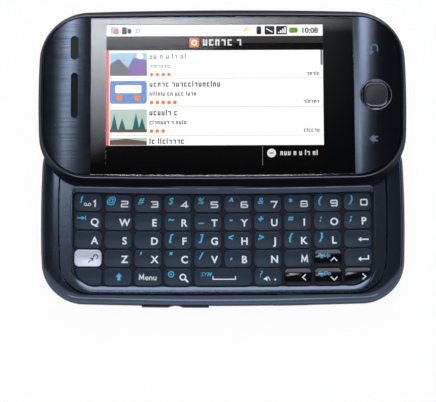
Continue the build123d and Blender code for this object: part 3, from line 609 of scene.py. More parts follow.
SIGNS = {
    "M": [stroke([(-0.85, -1.0), (-0.7, 0.98), (0, -0.5), (0.7, 0.98), (0.85, -1.0)], 0.42)],
    "1": [stroke([(-0.4, 0.5), (0.1, 0.85), (0.1, -1.0)], 0.42)],
    "2": [stroke([(-1.05, 0.8), (0.8, 0.8), (0.92, 0.65), (0.92, 0.15), (0.78, 0), (-0.78, 0), (-0.92, -0.15),
                  (-0.92, -0.8), (1.1, -0.8)], 0.4)],
    "3": [stroke([(-1.05, 0.8), (0.8, 0.8), (0.92, 0.65), (0.92, -0.65), (0.8, -0.8), (-1.05, -0.8)], 0.4),
          stroke([(-0.6, 0), (0.85, 0)], 0.4)],
    "4": [stroke([(0.5, -1.0), (0.5, 0.8), (-0.85, -0.42), (1.15, -0.42)], 0.4)],
    "5": [stroke([(1.05, 0.8), (-0.92, 0.8), (-0.92, 0.08), (0.8, 0.08), (0.92, -0.08), (0.92, -0.65),
                  (0.8, -0.8), (-1.05, -0.8)], 0.4)],
    "6": [*soft_ring(2.2, 1.24, 0, -0.38),
          stroke([(0.85, 0.8), (-0.75, 0.8), (-0.9, 0.62), (-0.9, -0.3)], 0.4)],
    "7": [stroke([(-1.05, 0.8), (0.85, 0.8), (-0.2, -1.05)], 0.42)],
    "8": soft_ring(2.1, 1.2, 0, 0.4) + soft_ring(2.25, 1.2, 0, -0.4),
    "9": [*soft_ring(2.2, 1.24, 0, 0.38),
          stroke([(-0.85, -0.8), (0.75, -0.8), (0.9, -0.62), (0.9, 0.3)], 0.4)],
    "0": soft_ring(2.2, 2.0, 0, 0),
    "*": [stroke([(0.62 * cos(t), 0.62 * sin(t)), (-0.62 * cos(t), -0.62 * sin(t))], 0.3)
          for t in (radians(30), radians(90), radians(150))],
    "chevron_left": [stroke([(0.5, 0.85), (-0.45, 0), (0.5, -0.85)], 0.3)],
    "chevron_right": [stroke([(-0.5, 0.85), (0.45, 0), (-0.5, -0.85)], 0.3)],
    "chevron_up": [stroke([(-0.95, -0.4), (0, 0.55), (0.95, -0.4)], 0.3)],
    "chevron_down": [stroke([(-0.95, 0.4), (0, -0.55), (0.95, 0.4)], 0.3)],
    "backspace": [stroke([(-0.7, 0), (1.5, 0)], 0.4), [(-1.65, 0), (-0.7, 0.72), (-0.7, -0.72)]],
    "enter": [
        stroke([(-0.8, -0.3), (1.35, -0.3), (1.35, 0.85)], 0.4),
        [(-1.75, -0.3), (-0.8, 0.42), (-0.8, -1.02)],
    ],
    "shift": [[(0, 1.15), (0.95, 0.1), (0.45, 0.1), (0.45, -1.0), (-0.45, -1.0), (-0.45, 0.1), (-0.95, 0.1)]],
    "magnifier": ring(0.8, 0.4, -0.3, 0.25) + [stroke([(0.28, -0.32), (1.25, -1.2)], 0.5)],
    "target": ring(0.78, 0.32) + [circle(0.28)],
    "space": [stroke([(-3.3, 0.55), (-3.3, -0.4), (3.3, -0.4), (3.3, 0.55)], 0.3)],
    "function": [
        stroke([(-1.25, -1.1), (-0.45, -0.35)], 0.34),
        [(0.25, 0.35), (-0.85, 0.15), (0.1, -0.75)],
        stroke(arc(0.62, 200, -70, 0.85, 0.6), 0.32),
    ],
    "dot_and_mute": [
        circle(0.26, 1.75, -0.55),
        [(-1.6, -0.1), (-1.2, -0.1), (-0.55, 0.45), (-0.55, -1.05), (-1.2, -0.55), (-1.6, -0.55)],
        stroke([(-0.35, 0.35), (0.25, -0.85)], 0.2),
    ],
    "voice_mail": [
        *ring(0.36, 0.2, -0.62, 0),
        *ring(0.36, 0.2, 0.62, 0),
        stroke([(-0.62, -0.36), (0.62, -0.36)], 0.2),
    ],
    "tab": [stroke([(-1.25, 0), (0.35, 0)], 0.34), [(1.05, 0), (0.1, 0.6), (0.1, -0.6)],
            stroke([(1.2, 0.65), (1.2, -0.65)], 0.28)],
    "back_mark": [
        stroke([(1.05, -0.35)] + arc(0.72, 0, 180, 0.33, 0.5) + [(-0.39, -0.35)], 0.3),
        [(-0.39, -1.25), (-0.98, -0.3), (0.2, -0.3)],
    ],
    "home_mark": [
        [(-1.5, 0), (0, 1.3), (0, 0.8), (1.15, 0.8), (1.15, 0.38), (0.5, 0.38), (0.5, -0.38), (1.15, -0.38),
         (1.15, -0.8), (0, -0.8), (0, -1.3)],
    ],
}


def lay_on(sign, surface, x, y, finish_name, turn=0.0):
    """Place a printed sign on a surface given by its height at each point; x and y in metres."""
    place = Matrix.Translation((x, y, 0)) @ Matrix.Rotation(turn, 4, "Z") @ Matrix.Scale(MM, 4)
    sign.data.transform(place)
    low = min(v.co.y for v in sign.data.vertices)
    high = max(v.co.y for v in sign.data.vertices)
    strip = 0.5 * MM
    with editing(sign) as mesh:
        for k in range(1, int((high - low) / strip) + 1):
            cut(mesh, (0, low + k * strip, 0), (0, 1, 0))
    proud = sizes().print_height
    for vertex in sign.data.vertices:
        lift = proud if vertex.co.z > 0 else -proud
        vertex.co.z = surface(vertex.co.x, vertex.co.y) + lift
    return paint_all(sign, finish_name)


# ---------------------------------------------------------------- keyboard
ROWS = 5
COLUMNS = 10
KEY_NODES = {
    "digit_keys_1_to_5": (0, 0, 5),
    "digit_keys_6_to_0": (0, 5, 10),
    "letter_keys_q_to_t": (1, 0, 5),
    "letter_keys_y_to_p": (1, 5, 10),
    "letter_keys_a_to_g": (2, 0, 5),
    "letter_keys_h_to_l": (2, 5, 9),
    "backspace_key": (2, 9, 10),
    "function_key": (3, 0, 1),
    "letter_keys_z_to_v": (3, 1, 5),
    "letter_keys_b_to_m": (3, 5, 8),
    "up_arrow_key": (3, 8, 9),
    "enter_key": (3, 9, 10),
    "blank_corner_key": (4, 0, 1),
    "shift_key": (4, 1, 2),
    "menu_key": (4, 2, 3),
    "search_key": (4, 3, 4),
    "space_bar": (4, 4, 5),
    "full_stop_key": (4, 6, 7),
    "left_arrow_key": (4, 7, 8),
    "down_arrow_key": (4, 8, 9),
    "right_arrow_key": (4, 9, 10),
}
GLOSS_KEYS = ("up_arrow_key", "left_arrow_key", "down_arrow_key", "right_arrow_key")
LEGENDS = (
    "1 2 3 4 5 6 7 8 9 0".split(),
    "Q W E R T Y U I O P".split(),
    "A S D F G H J K L backspace".split(),
    "function Z X C V B N M chevron_up enter".split(),
    ["", "shift", "Menu", "magnifier", "space", "", "dot_and_mute",
     "chevron_left", "chevron_down", "chevron_right"],
)
SECOND_SIGNS = (
    "! @ # $ % ^ & * ( )".split(),
    ["tab", "", "", "~", "_", "-", "+", "=", ":", ";"],
    ["", "", "", "[", "]", "<", ">", "{", "}", ""],
    ["", "", "'", '"', "/", ",", "", "", "PgUp", ""],
    ["", "", "", "target", "SYM", "", "?", "", "PgDn", ""],
)
FIRST_ROW_Y = 2.75 * MM
ROW_BOWS = (0.7 * MM, 0.3 * MM)        # a row's ends above its middle, in the first and in the last row
HALF_FIELD = 44.105 * MM


def key_place(row, column):
    """Centre and turn of a key, whose rows bow towards the user."""
    s = sizes()
    if (row, column) == (ROWS - 1, 4):
        column = 4.5
    x = (column - (COLUMNS - 1) / 2) * s.column_pitch
    bow = ROW_BOWS[0] + (ROW_BOWS[1] - ROW_BOWS[0]) * row / (ROWS - 1)
    y = FIRST_ROW_Y - row * s.row_pitch + bow * (x / HALF_FIELD) ** 2
    return x, y, atan2(2 * bow * x, HALF_FIELD ** 2)


def cap_height(crown, y):
    """Height of a cap's top at a distance from its middle; a negative crown is a dish."""
    share = min(abs(y) / (sizes().key_height / 2), 1) ** 2
    if crown > 0:
        return KEY_HIGH.z - crown * share * (1.0 if y > 0 else 0.15)
    return KEY_HIGH.z + crown * (1 - share)


def key_cap(width, crown, corner_side=0):
    """A key cap about the origin: round corners, a soft upper edge and a crowned or dished top."""
    s = sizes()
    low, high, strips = KEY_LOW.z + 0.06 * MM, KEY_HIGH.z, 10
    cap = start_box(width, s.key_height, low, high)
    with editing(cap) as mesh:
        bevel_edges(mesh, is_upright, s.key_corner, 6)
        if corner_side:
            round_field_corner(mesh, width, corner_side)
        bevel_edges(mesh, lambda e: all(abs(v.co.z - high) < 1e-7 for v in e.verts), s.key_edge, 3)
        shares = [k / strips - 0.5 for k in range(1, strips)]
        hold = 0.5 - (s.key_edge + 0.05 * MM) / s.key_height
        for share in shares + [-hold, hold]:
            cut(mesh, (0, s.key_height * share, 0), (0, 1, 0))
    middle_z = (low + high) / 2
    for vertex in cap.data.vertices:
        if vertex.co.z > middle_z:
            share = (cap_height(crown, vertex.co.y) - low) / (high - low)
            vertex.co.z = low + (vertex.co.z - low) * share
    return smooth(cap, 40)


def round_field_corner(mesh, width, side):
    """Cut a cap's outer near corner to the keyboard's round corner."""
    s = sizes()
    radius, steps = s.field_corner, 10
    centre = Vector((side * (width / 2 - radius), -s.key_height / 2 + radius, 0))
    for k in range(steps):
        turn = radians(90 * (k + 0.5) / steps)
        outward = Vector((side * cos(turn), -sin(turn), 0))
        trim(mesh, centre + outward * radius, outward)


def key_crown(node):
    """A gloss key's crown, or the dish of any other as a negative one."""
    return sizes().arrow_crown if node in GLOSS_KEYS else -sizes().key_dish


def make_caps(node):
    """The caps of one key node, each a copy of its model with its own mesh."""
    s = sizes()
    row, first, last = KEY_NODES[node]
    width = s.key_width + (s.column_pitch if node == "space_bar" else 0)
    corner_side = {"blank_corner_key": -1, "right_arrow_key": 1}.get(node, 0)
    model = key_cap(width, key_crown(node), corner_side)
    caps = []
    for column in range(first, last):
        x, y, turn = key_place(row, column)
        cap = model.copy()
        cap.data = model.data.copy()
        bpy.context.scene.collection.objects.link(cap)
        cap.data.transform(Matrix.Translation((x, y, 0)) @ Matrix.Rotation(turn, 4, "Z"))
        caps.append(cap)
    bpy.data.objects.remove(model)
    gloss, silver = node in GLOSS_KEYS, node == "function_key"
    keys = paint_all(join(caps), "key_gloss" if gloss else "key_silver" if silver else "key_satin")
    if not gloss and not silver:
        # The satin keys' rounded upper edges are painted in the lighter graphite, a painted highlight
        # outlining each key.
        paint_where(keys, "key_brow", lambda f: 0.3 < f.normal.z < 0.93)
    return keys


def sign_mesh(name):
    """A drawn sign: a ring's two outlines make one sheet, every other outline makes its own."""
    outlines, sheets = list(SIGNS[name]), []
    while outlines:
        first = outlines.pop(0)
        has_hole = outlines and len(first) == len(outlines[0]) == 24
        sheets.append(flat_mesh([first, outlines.pop(0)] if has_hole else [first]))
    return join(sheets)


def make_sign(text, height):
    return sign_mesh(text) if text in SIGNS else text_mesh(text, height, 0.028)


def first_signs(text, second):
    """A key's main sign in its parts, each with its finish and its place from the cap's middle."""
    height = sizes().legend_height / MM
    if text == "Menu":
        initial = sign_mesh("M")
        initial.data.transform(Matrix.Scale(0.78, 4))
        others = text_mesh("enu", height * 0.8, 0.008)
        return [(initial, "legend_white", -1.85, -0.05), (others, "legend_white", 0.85, -0.1)]
    if text == "shift":
        return [(make_sign(text, 1), "legend_accent", 0.3, 0)]
    if text == "function":
        return [(make_sign(text, 1), "legend_grey", 1.4, -0.2)]
    dx = 0.35 if text in ("space", "dot_and_mute") else 1.75 if len(text) > 1 else 1.95
    dy = -0.6 if second.startswith("Pg") else -0.25
    return [(make_sign(text, height), "legend_white", dx, dy)] if text else []


def second_signs(text, second):
    """A key's second sign, and the small one on the first digit, told in the same way."""
    signs = []
    if second:
        is_word = len(second) > 1
        height = sizes().sign_height / MM * (0.64 if is_word else 1.0)
        bold = 0.003 if is_word else 0.012 if second in "$&@#%?" else 0.04
        sign = sign_mesh(second) if second in SIGNS else text_mesh(second, height, bold, slant=0.25)
        dx = -4.9 if text == "space" else -1.1 if second.startswith("Pg") else -2.0
        signs.append((sign, "legend_accent", dx, 0.85))
    if text == "1":
        signs.append((make_sign("voice_mail", 1), "legend_white", -0.2, -0.55))
    return signs


def tactile_bar(x, y, level):
    """The short raised bar on a home key."""
    bar = rounded_box(0.3 * MM, 1.4 * MM, -0.3 * MM, 0.12 * MM, 0.14 * MM, 0.1 * MM, segments=4)
    return paint_all(shift(bar, x, y, level), "key_satin")


def make_legends(node):
    """The printed legends of one key node, as one piece."""
    crown = key_crown(node)
    row, first, last = KEY_NODES[node]
    prints = []
    for column in range(first, last):
        x, y, turn = key_place(row, column)
        text, second = LEGENDS[row][column], SECOND_SIGNS[row][column]
        for sign, finish_name, dx, dy in first_signs(text, second) + second_signs(text, second):
            spot = Vector((x, y)) + Vector((dx * MM, dy * MM)) @ Matrix.Rotation(-turn, 2)
            prints.append(lay_on(sign, lambda px, py: cap_height(crown, py - y), *spot, finish_name, turn))
        if text in ("F", "J"):
            aside, below = 3.45 * MM, 0.1 * MM
            bar_x = x + (aside if text == "F" else -aside)
            prints.append(tactile_bar(bar_x, y - below, cap_height(crown, -below)))
    return join(prints) if prints else None


# ---------------------------------------------------------------- the base's frame
FRAME_LOW, FRAME_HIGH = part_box("front_frame")
FIELD_LOW, FIELD_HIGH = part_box("keyboard_panel")
GROOVE = 0.42                         # between the frame and the keyboard panel
FRAME_RISE = (                        # share of the frame's height, and the distance in from its widest line
    (0, 0), (0.25, 0.05), (0.45, 0.2), (0.65, 0.5), (0.8, 0.95), (0.91, 1.7), (0.97, 2.6), (1.0, 3.8)
)


def base_ring(inset):
    size = (FRAME_HIGH - FRAME_LOW) / MM
    return bowed_ring(size.x - 2 * inset, size.y - 2 * inset, 1.0, 1.0, 12.5 - inset)


def panel_ring(grow):
    size = (FIELD_HIGH - FIELD_LOW) / MM
    return bowed_ring(size.x + 2 * grow, size.y + 2 * grow, 1.2, 0.5, 9.2 + grow)


def frame_level(inset):
    """Height of the frame's rounded top, in millimetres, at a distance from the base's widest line."""
    low, height = FRAME_LOW.z / MM, (FRAME_HIGH.z - FRAME_LOW.z) / MM
    for (rise_a, inset_a), (rise_b, inset_b) in zip(FRAME_RISE, FRAME_RISE[1:]):
        if inset <= inset_b:
            share = (inset - inset_a) / (inset_b - inset_a)
            return low + height * (rise_a + (rise_b - rise_a) * share)
    return low + height


def make_frame_skin():
    """The front frame: a band with a rounded outer edge, open in the middle for the keyboard panel."""
    low, top = FRAME_LOW.z / MM, FRAME_HIGH.z / MM
    shoulder_inset, wall, groove_depth, wall_rise = FRAME_RISE[4][1], 1.6, 1.0, 1.2
    shoulder, groove, inner = base_ring(shoulder_inset), panel_ring(GROOVE), base_ring(wall)
    rings = [at_height(base_ring(inset), frame_level(inset)) for _, inset in FRAME_RISE[:5]]
    for share in (0.15, 0.3, 0.45, 0.6, 0.75, 0.9, 1.0):
        points = between(shoulder, groove, share)
        level = [frame_level(shoulder_inset + (p - q).length) for p, q in zip(points, shoulder)]
        rings.append([Vector((p.x, p.y, z)) * MM for p, z in zip(points, level)])
    rings.append(at_height(groove, top - groove_depth))
    for points, level in ((inner, low + wall_rise), (inner, low), (base_ring(0), low)):
        rings.append(at_height(points, level))
    return loft_rings(rings)


def field_ring(far, near, side):
    """The keyboard opening's outline, grown on each side, and each point's share in the far edge."""
    half, far_corner, near_corner = HALF_FIELD / MM + side, 0.8 + side, 6.5 + side
    far_edge, near_edge = 5.6 + far, -21.9 - near
    far_bow, near_bow = (bow / MM for bow in ROW_BOWS)

    def far_y(x):
        return far_edge + far_bow * (x / half) ** 2

    def near_y(x):
        return near_edge + near_bow * (x / half) ** 2

    x_far, x_near = half - far_corner, half - near_corner
    y_far, y_near = far_y(x_far) - far_corner, near_y(x_near) + near_corner
    points = arc(far_corner, 0, 90, x_far, y_far, 6)
    weights = [k / 6 for k in range(7)]
    across = [x_far * (1 - k / 12) for k in range(1, 24)]
    points += [(x, far_y(x)) for x in across]
    weights += [1] * len(across)
    points += arc(far_corner, 90, 180, -x_far, y_far, 6)
    weights += [1 - k / 6 for k in range(7)]
    points += arc(near_corner, 180, 270, -x_near, y_near, 14)
    points += [(x_near * (k / 12 - 1), near_y(x_near * (k / 12 - 1))) for k in range(1, 24)]
    points += arc(near_corner, 270, 360, x_near, y_near, 14)
    return points, weights + [0] * (len(points) - len(weights))


def make_surround():
    """The rounded edge of the keyboard's opening: a broad bead near the user, a plain slope by the lid."""
    top, low, proud = FIELD_HIGH.z / MM, FIELD_LOW.z / MM, 0.012

    def bead_ring(share):
        return field_ring(1.8 * share, 1.5 * share, 0.9 * share)

    rings = []
    for share in (-0.05, 0, 0.12, 0.24, 0.36, 0.48, 0.6, 0.72, 0.84, 0.9, 1):
        points, weights = bead_ring(1 - share)
        near_drop = 1.5 * (0.07 * share + 0.29 * share ** 2) if share > 0 else 0
        far_drop = max(share, 0)
        rings.append([
            Vector((x, y, top + proud - near_drop - (far_drop - near_drop) * w)) * MM
            for (x, y), w in zip(points, weights)
        ])
    for share in (0, 1.05):
        rings.append([Vector((x, y, low)) * MM for x, y in bead_ring(share)[0]])
    rings.append(rings[0])
    skin = paint_all(loft_rings(rings), "slate_panel")
    far_side = 5.45 * MM

    def on_far_slope(face):
        return face.center.y > far_side and face.normal.y < -0.2 and face.normal.z > 0.5

    # The far slope lies under the lid's near edge and is painted in the darker slate as painted shade.
    paint_where(skin, "slate_shade", on_far_slope)
    # The far slope's top and bottom edges are painted in the bright edge metal as painted highlight lines.
    for line_low, line_high in ((-0.2, 0.13), (0.84, 1.1)):
        paint_where(
            skin, "edge_line",
            lambda face: on_far_slope(face) and line_low < top + proud - face.center.z / MM < line_high,
        )
    return smooth(skin, 40)


# ---------------------------------------------------------------- the lid's frame and window
WIDEST = 11.98                        # height of the lid's widest line
SEAM = 0.12                           # between the rim and the window


def lid_ring(inset):
    size = (LID_HIGH - LID_LOW) / MM
    return bowed_ring(size.x - 2 * inset, size.y - 2 * inset, 1.2, 1.0, 15.0 - inset)


def rim_ring(inset):
    s, size = sizes(), (LID_HIGH - LID_LOW) / MM
    ends, sides = inset + s.rim_end_inset / MM, inset + s.rim_side_inset / MM
    return bowed_ring(size.x - 2 * ends, size.y - 2 * sides, 1.2, 0.6, 13.6 - inset)


def make_lid_skin():
    """The lid's frame: a slim rounded rim, and a wall that flares to the lid's widest line."""
    top, low, band = LID_HIGH.z / MM, LID_LOW.z / MM, sizes().rim_band / MM
    rim, widest = rim_ring(0), lid_ring(0)
    rings = [at_height(rim_ring(band), top - 1.1)]
    brow = ((band, 0.12), (band - 0.06, 0.04), (band - 0.2, 0), (0.5, 0.02), (0.36, 0.06), (0.14, 0.18))
    for inset, drop in brow:
        rings.append(at_height(rim_ring(inset), top - drop))
    flare = ((0, 14.82), (0.12, 14.5), (0.33, 13.85), (0.62, 13.05), (0.86, 12.45), (1, WIDEST))
    for share, level in flare:
        rings.append(at_height(between(rim, widest, share), level))
    for inset, level in ((0.03, 11.4), (0.12, 10.75), (0.2, low)):
        rings.append(at_height(lid_ring(inset), level))
    rings.append(at_height(rim_ring(band), low))
    rings.append(rings[0])
    skin = loft_rings(rings)
    paint_all(skin, "lid_lacquer")
    wall_top = 14.6 * MM
    paint_where(skin, "lid_wall", lambda face: face.center.z < wall_top)
    # A thin band just under the rim's top is painted in the bright edge metal: a painted highlight line round
    # the rim.
    line_low, line_high = (top - 0.16) * MM, (top - 0.09) * MM
    paint_where(skin, "edge_line", lambda face: line_low < face.center.z < line_high)
    return shift(smooth(skin, 50), y=LID_Y)


def in_display(x, y):
    """Whether a spot, in metres about the lid's centre, lies over the display's lit part."""
    s = sizes()
    return abs(x - SCREEN_X) < s.screen_width / 2 and abs(y - SCREEN_Y) < s.screen_height / 2


def window_blank(low, high):
    """A prism on the window's outline, about the lid's centre."""
    blank = prism_from(rim_ring(sizes().rim_band / MM + SEAM), low, high)
    with editing(blank) as mesh:
        for side in (-1, 1):
            trim(mesh, (side * WINDOW_HIGH.x, 0, 0), (side, 0, 0))
    return blank


def is_window_brow(edge):
    """Whether an edge of the window's face runs along the phone, not beside an end panel."""
    on_face = all(abs(v.co.z - WINDOW_HIGH.z) < 1e-7 for v in edge.verts)
    return on_face and not all(abs(abs(v.co.x) - WINDOW_HIGH.x) < 1e-6 for v in edge.verts)


def make_window():
    """The clear window, with a low-glare coat over the display."""
    s = sizes()
    glass = window_blank(WINDOW_LOW.z, WINDOW_HIGH.z)
    with editing(glass) as mesh:
        bevel_edges(mesh, is_window_brow, 0.12 * MM, 2)
        for side in (-1, 1):
            cut(mesh, (SCREEN_X + side * s.screen_width / 2, 0, 0), (1, 0, 0))
            cut(mesh, (0, SCREEN_Y + side * s.screen_height / 2, 0), (0, 1, 0))
    paint_all(glass, "window_glass")
    paint_where(glass, "display_glass", lambda f: abs(f.normal.z) > 0.9 and in_display(*f.center.xy))
    return shift(glass, y=LID_Y)


def make_window_print():
    """The black print behind the window, open over the display."""
    s = sizes()
    sheet = window_blank(WINDOW_LOW.z - 0.07 * MM, WINDOW_LOW.z - 0.01 * MM)
    low, high = WINDOW_LOW.z - MM, WINDOW_LOW.z + MM
    carve(sheet, start_box(s.screen_width, s.screen_height, low, high, SCREEN_X, SCREEN_Y))
    return paint_all(shift(sheet, y=LID_Y), "black_print")


# ---------------------------------------------------------------- the display's picture
def rect(left, top, right, bottom):
    """A rectangle by distances from the picture's upper left corner."""
    return [(left, -top), (left, -bottom), (right, -bottom), (right, -top)]


def round_rect(left, top, right, bottom, corner):
    points = []
    for x, y, start in (
        (right - corner, -top - corner, 0), (left + corner, -top - corner, 90),
        (left + corner, -bottom + corner, 180), (right - corner, -bottom + corner, 270),
    ):
        points += arc(corner, start, start + 90, x, y, 4)
    return points


def greek(left, top, width, height, seed):
    """A line of letter-like strokes that spells nothing."""
    s, shapes, x, k = 0.24 * height, [], left, seed
    while x < left + width:
        k = (k * 57 + 23) % 211
        w, h, low = 0.66 * height, height, -top - height
        kind = k // 3 % 5
        if kind == 0:
            letter = [(x, low), (x, low + 1.35 * h), (x + s, low + 1.35 * h), (x + s, low)]
            w = s
        elif kind in (1, 2):
            a, b = (low, low + h) if kind == 1 else (low + h, low)
            t = s if kind == 1 else -s
            letter = [(x, a), (x, b), (x + w, b), (x + w, a),
                      (x + w - s, a), (x + w - s, b - t), (x + s, b - t), (x + s, a)]
        elif kind == 3:
            letter = [(x, low), (x, low + h), (x + w, low + h), (x + w, low + h - s), (x + s, low + h - s),
                      (x + s, low + s), (x + w, low + s), (x + w, low)]
        else:
            letter = [(x, low + h), (x + w, low + h), (x + w, low),
                      (x + w - s, low), (x + w - s, low + h - s), (x, low + h - s)]
        shapes.append(letter)
        x += w + 0.3 * height + (0.5 * height if k % 6 == 0 else 0)
    return shapes


def pips(left, top, count, step, radius=0.58):
    return [circle(radius, left + step * n + radius, -top - radius, 10) for n in range(count)]


def on_screen(shape, layer, finish_name, left=0.0, top=0.0):
    """Lay a flat shape on one of the picture's layers."""
    s = sizes()
    x = SCREEN_X - s.screen_width / 2 + left * MM
    y = LID_Y + SCREEN_Y + s.screen_height / 2 - top * MM
    thickness = 0.003 * MM
    base = DISPLAY_HIGH.z + thickness * (1 + 2 * layer)
    for vertex in shape.data.vertices:
        level = base + (thickness if vertex.co.z > 0 else 0)
        vertex.co = (x + vertex.co.x * MM, y + vertex.co.y * MM, level)
    return paint_all(shape, finish_name)


def lay(layer, colour, *outlines):
    """Outlines filled with one lit colour, on one of the picture's layers."""
    return on_screen(flat_mesh(outlines), layer, "lit_" + colour)


def make_picture():
    """A list of four places under a status bar and a header, drawn with made-up signs."""
    s = sizes()
    w, h = s.screen_width / MM, s.screen_height / MM
    bar, head, foot = 3.4, 7.7, 36.3
    rows = (7.7, 16.1, 24.7, 33.3, foot)
    pieces = [
        lay(0, "white", rect(0, 0, w, bar), rect(0.85, head, w, foot)),
        lay(0, "coal", rect(0, bar, w, bar + 2.1)),
        lay(0, "black", rect(0, bar + 2.1, w, head), rect(0, foot, w, h)),
        lay(0, "red", rect(0, head, 0.85, foot)),
        lay(1, "line", *(rect(0.9, y, w, y + 0.12) for y in rows[1:4])),
        lay(1, "grey", rect(w - 0.75, head, w - 0.1, 12.2), rect(46.0, foot + 0.3, 46.12, h)),
        lay(1, "coal", rect(0, foot, w, foot + 0.18), rect(0, bar, w, bar + 0.15)),
    ]
    margin, note_drop = 12.8, 6.75
    pale, dark = [], []
    line_widths = ((11.0, 6.3, 3.6), (21.0, 13.5, 4.6), (8.2, 11.5, 4.6))
    for n, (top, (title, detail, note)) in enumerate(zip(rows, line_widths)):
        shade = pale if n == 0 else dark
        shade += greek(margin, top + 1.35, title, 1.25, 5 + 9 * n)
        shade += greek(margin, top + 4.35, detail, 0.95, 8 + 7 * n)
        dark += greek(w - 1.2 - note, top + note_drop, note - 0.4, 0.9, 3 + 5 * n)
    dark += greek(margin, 34.6, 9.5, 1.25, 21)
    pieces.append(lay(1, "grey", *pale))
    pieces.append(lay(1, "ink", *dark))
    full, empty = [], []
    pip_step, pip_radius, hollow = 1.72, 0.5, 0.36
    for top, count in zip(rows, (4, 5, 3)):
        full += pips(margin, top + note_drop, count, pip_step)
        for spot in range(count, 5):
            x, y = margin + pip_step * spot + pip_radius, -top - note_drop - pip_radius
            empty += [circle(pip_radius, x, y, 10), circle(hollow, x, y, 10)]
    pieces.append(lay(1, "orange", *full))
    pieces.append(lay(1, "peach", *empty))
    pieces += make_thumbnails(rows) + make_status(foot)
    return join(pieces)


def make_thumbnails(rows):
    left, right = 1.05, 12.0
    spots = [(top + 0.8, min(top + 7.7, 36.2)) for top in rows[:4]]
    (a0, a1), (b0, b1), (c0, c1), (d0, d1) = spots
    hills = [(left, -a1), (left, -a0 - 3.6), (3.6, -a0 - 1.6), (6.4, -a0 - 4.6), (6.4, -a1)]
    cliffs = [(6.4, -a1), (6.4, -a0 - 4.4), (8.0, -a0 - 1.3), (right, -a0 - 2.2), (right, -a1)]
    firs = []
    for x, tall in ((2.4, 4.6), (4.7, 3.4), (8.8, 5.0), (10.6, 3.6)):
        firs.append([(x - 1.0, -c1 + 0.9), (x + 1.0, -c1 + 0.9), (x, -c1 + 0.9 + tall)])
    return [
        lay(1, "sky", rect(left, a0, right, a1)),
        lay(2, "slate", hills),
        lay(2, "violet", cliffs),
        lay(2, "white", circle(0.9, 9.9, -a0 - 1.0, 16)),
        lay(1, "blue", round_rect(left, b0, right, b1, 0.9)),
        lay(2, "white", round_rect(2.6, b0 + 1.3, 10.4, b1 - 3.2, 0.5)),
        lay(2, "orange", circle(1.0, 3.8, -b1 + 1.8, 16), circle(1.0, 9.2, -b1 + 1.8, 16)),
        lay(1, "mist", rect(left, c0, right, c1 - 0.9)),
        lay(1, "earth", rect(left, c1 - 0.9, right, c1)),
        lay(2, "teal", *firs),
        lay(1, "mist", rect(left, d0, right, d1)),
        lay(2, "earth", [(left, -d1), (left, -d0 - 0.7), (6.0, -d0 - 0.2), (right, -d0 - 1.0), (right, -d1)]),
    ]


def make_status(foot):
    """Plain signs in the status bar, the header and the foot."""
    battery = round_rect(54.2, 0.9, 56.6, 2.5, 0.3)
    mast = [rect(50.9 + 0.62 * n, 2.6 - 0.45 * (n + 1), 51.3 + 0.62 * n, 2.6) for n in range(4)]
    frame_box = [round_rect(50.3, 0.4, 53.5, 3.0, 0.3)]
    clock = text_mesh("10:08", 1.55, 0.03)
    warm = text_mesh("21", 1.3, 0.02)
    return [
        lay(1, "sky", round_rect(1.2, 0.5, 3.6, 2.9, 0.5)),
        lay(2, "red", circle(0.85, 2.9, -2.0, 16)),
        lay(1, "ink", round_rect(4.6, 0.6, 6.0, 2.8, 0.25), round_rect(6.2, 1.1, 7.4, 2.6, 0.2)),
        on_screen(warm, 1, "lit_ink", 9.2, 1.7),
        lay(1, "peach", arc(1.1, 200, 20, 41.6, -1.9, 8)),
        lay(1, "ink", round_rect(44.5, 0.5, 45.9, 2.9, 0.3), round_rect(46.9, 0.4, 49.8, 3.0, 0.3)),
        lay(2, "white", stroke([(47.4, -1.2), (49.3, -2.3)], 0.3)),
        lay(1, "ink", *frame_box),
        lay(2, "white", *mast),
        lay(1, "green", battery, rect(56.65, 1.4, 56.9, 2.0)),
        on_screen(clock, 1, "lit_ink", 60.4, 1.75),
        lay(1, "orange", round_rect(24.6, 4.0, 27.4, 6.8, 0.4)),
        lay(2, "white", *ring(0.7, 0.35, 26.0, -5.4)),
        lay(1, "pale", *greek(28.6, 4.4, 10.2, 1.9, 14)),
        lay(1, "pale", circle(1.3, 48.7, -foot - 2.4, 20)),
        lay(2, "grey", rect(48.1, foot + 2.2, 49.3, foot + 2.6)),
        lay(1, "pale", *greek(51.3, foot + 1.9, 10.8, 1.15, 33)),
    ]


# ---------------------------------------------------------------- the lid's crowned end panels
def crown_height_at(x):
    """Height of an end panel's arched face at a distance from the phone's middle."""
    start, stop = WINDOW_HIGH.x, PANEL_HIGH.x
    rise = PANEL_HIGH.z - WINDOW_HIGH.z
    half = (stop - start) / 2
    radius = (half ** 2 + rise ** 2) / (2 * rise)
    off = min(abs(abs(x) - (start + stop) / 2), half)
    return PANEL_HIGH.z - radius + sqrt(radius ** 2 - off ** 2)


def squircle(length, width, grow=0.0, power=3.4, count=64):
    """A soft square ring in millimetres about the origin."""
    points = []
    for k in range(count):
        c, d = cos(2 * pi * k / count), sin(2 * pi * k / count)
        reach = (abs(c / (length / 2 + grow)) ** power + abs(d / (width / 2 + grow)) ** power) ** (-1 / power)
        points.append(Vector((reach * c, reach * d)))
    return points


def round_ring(radius, count=64):
    return [Vector(p) for p in circle(radius, count=count)]


RING_LOW, RING_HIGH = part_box("nav_ring")
BUTTON_LOW, BUTTON_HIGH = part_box("nav_button")
BUTTON_SIZE = (7.0, 7.2)              # along and across the phone
NAV_X = (RING_LOW.x + RING_HIGH.x) / 2


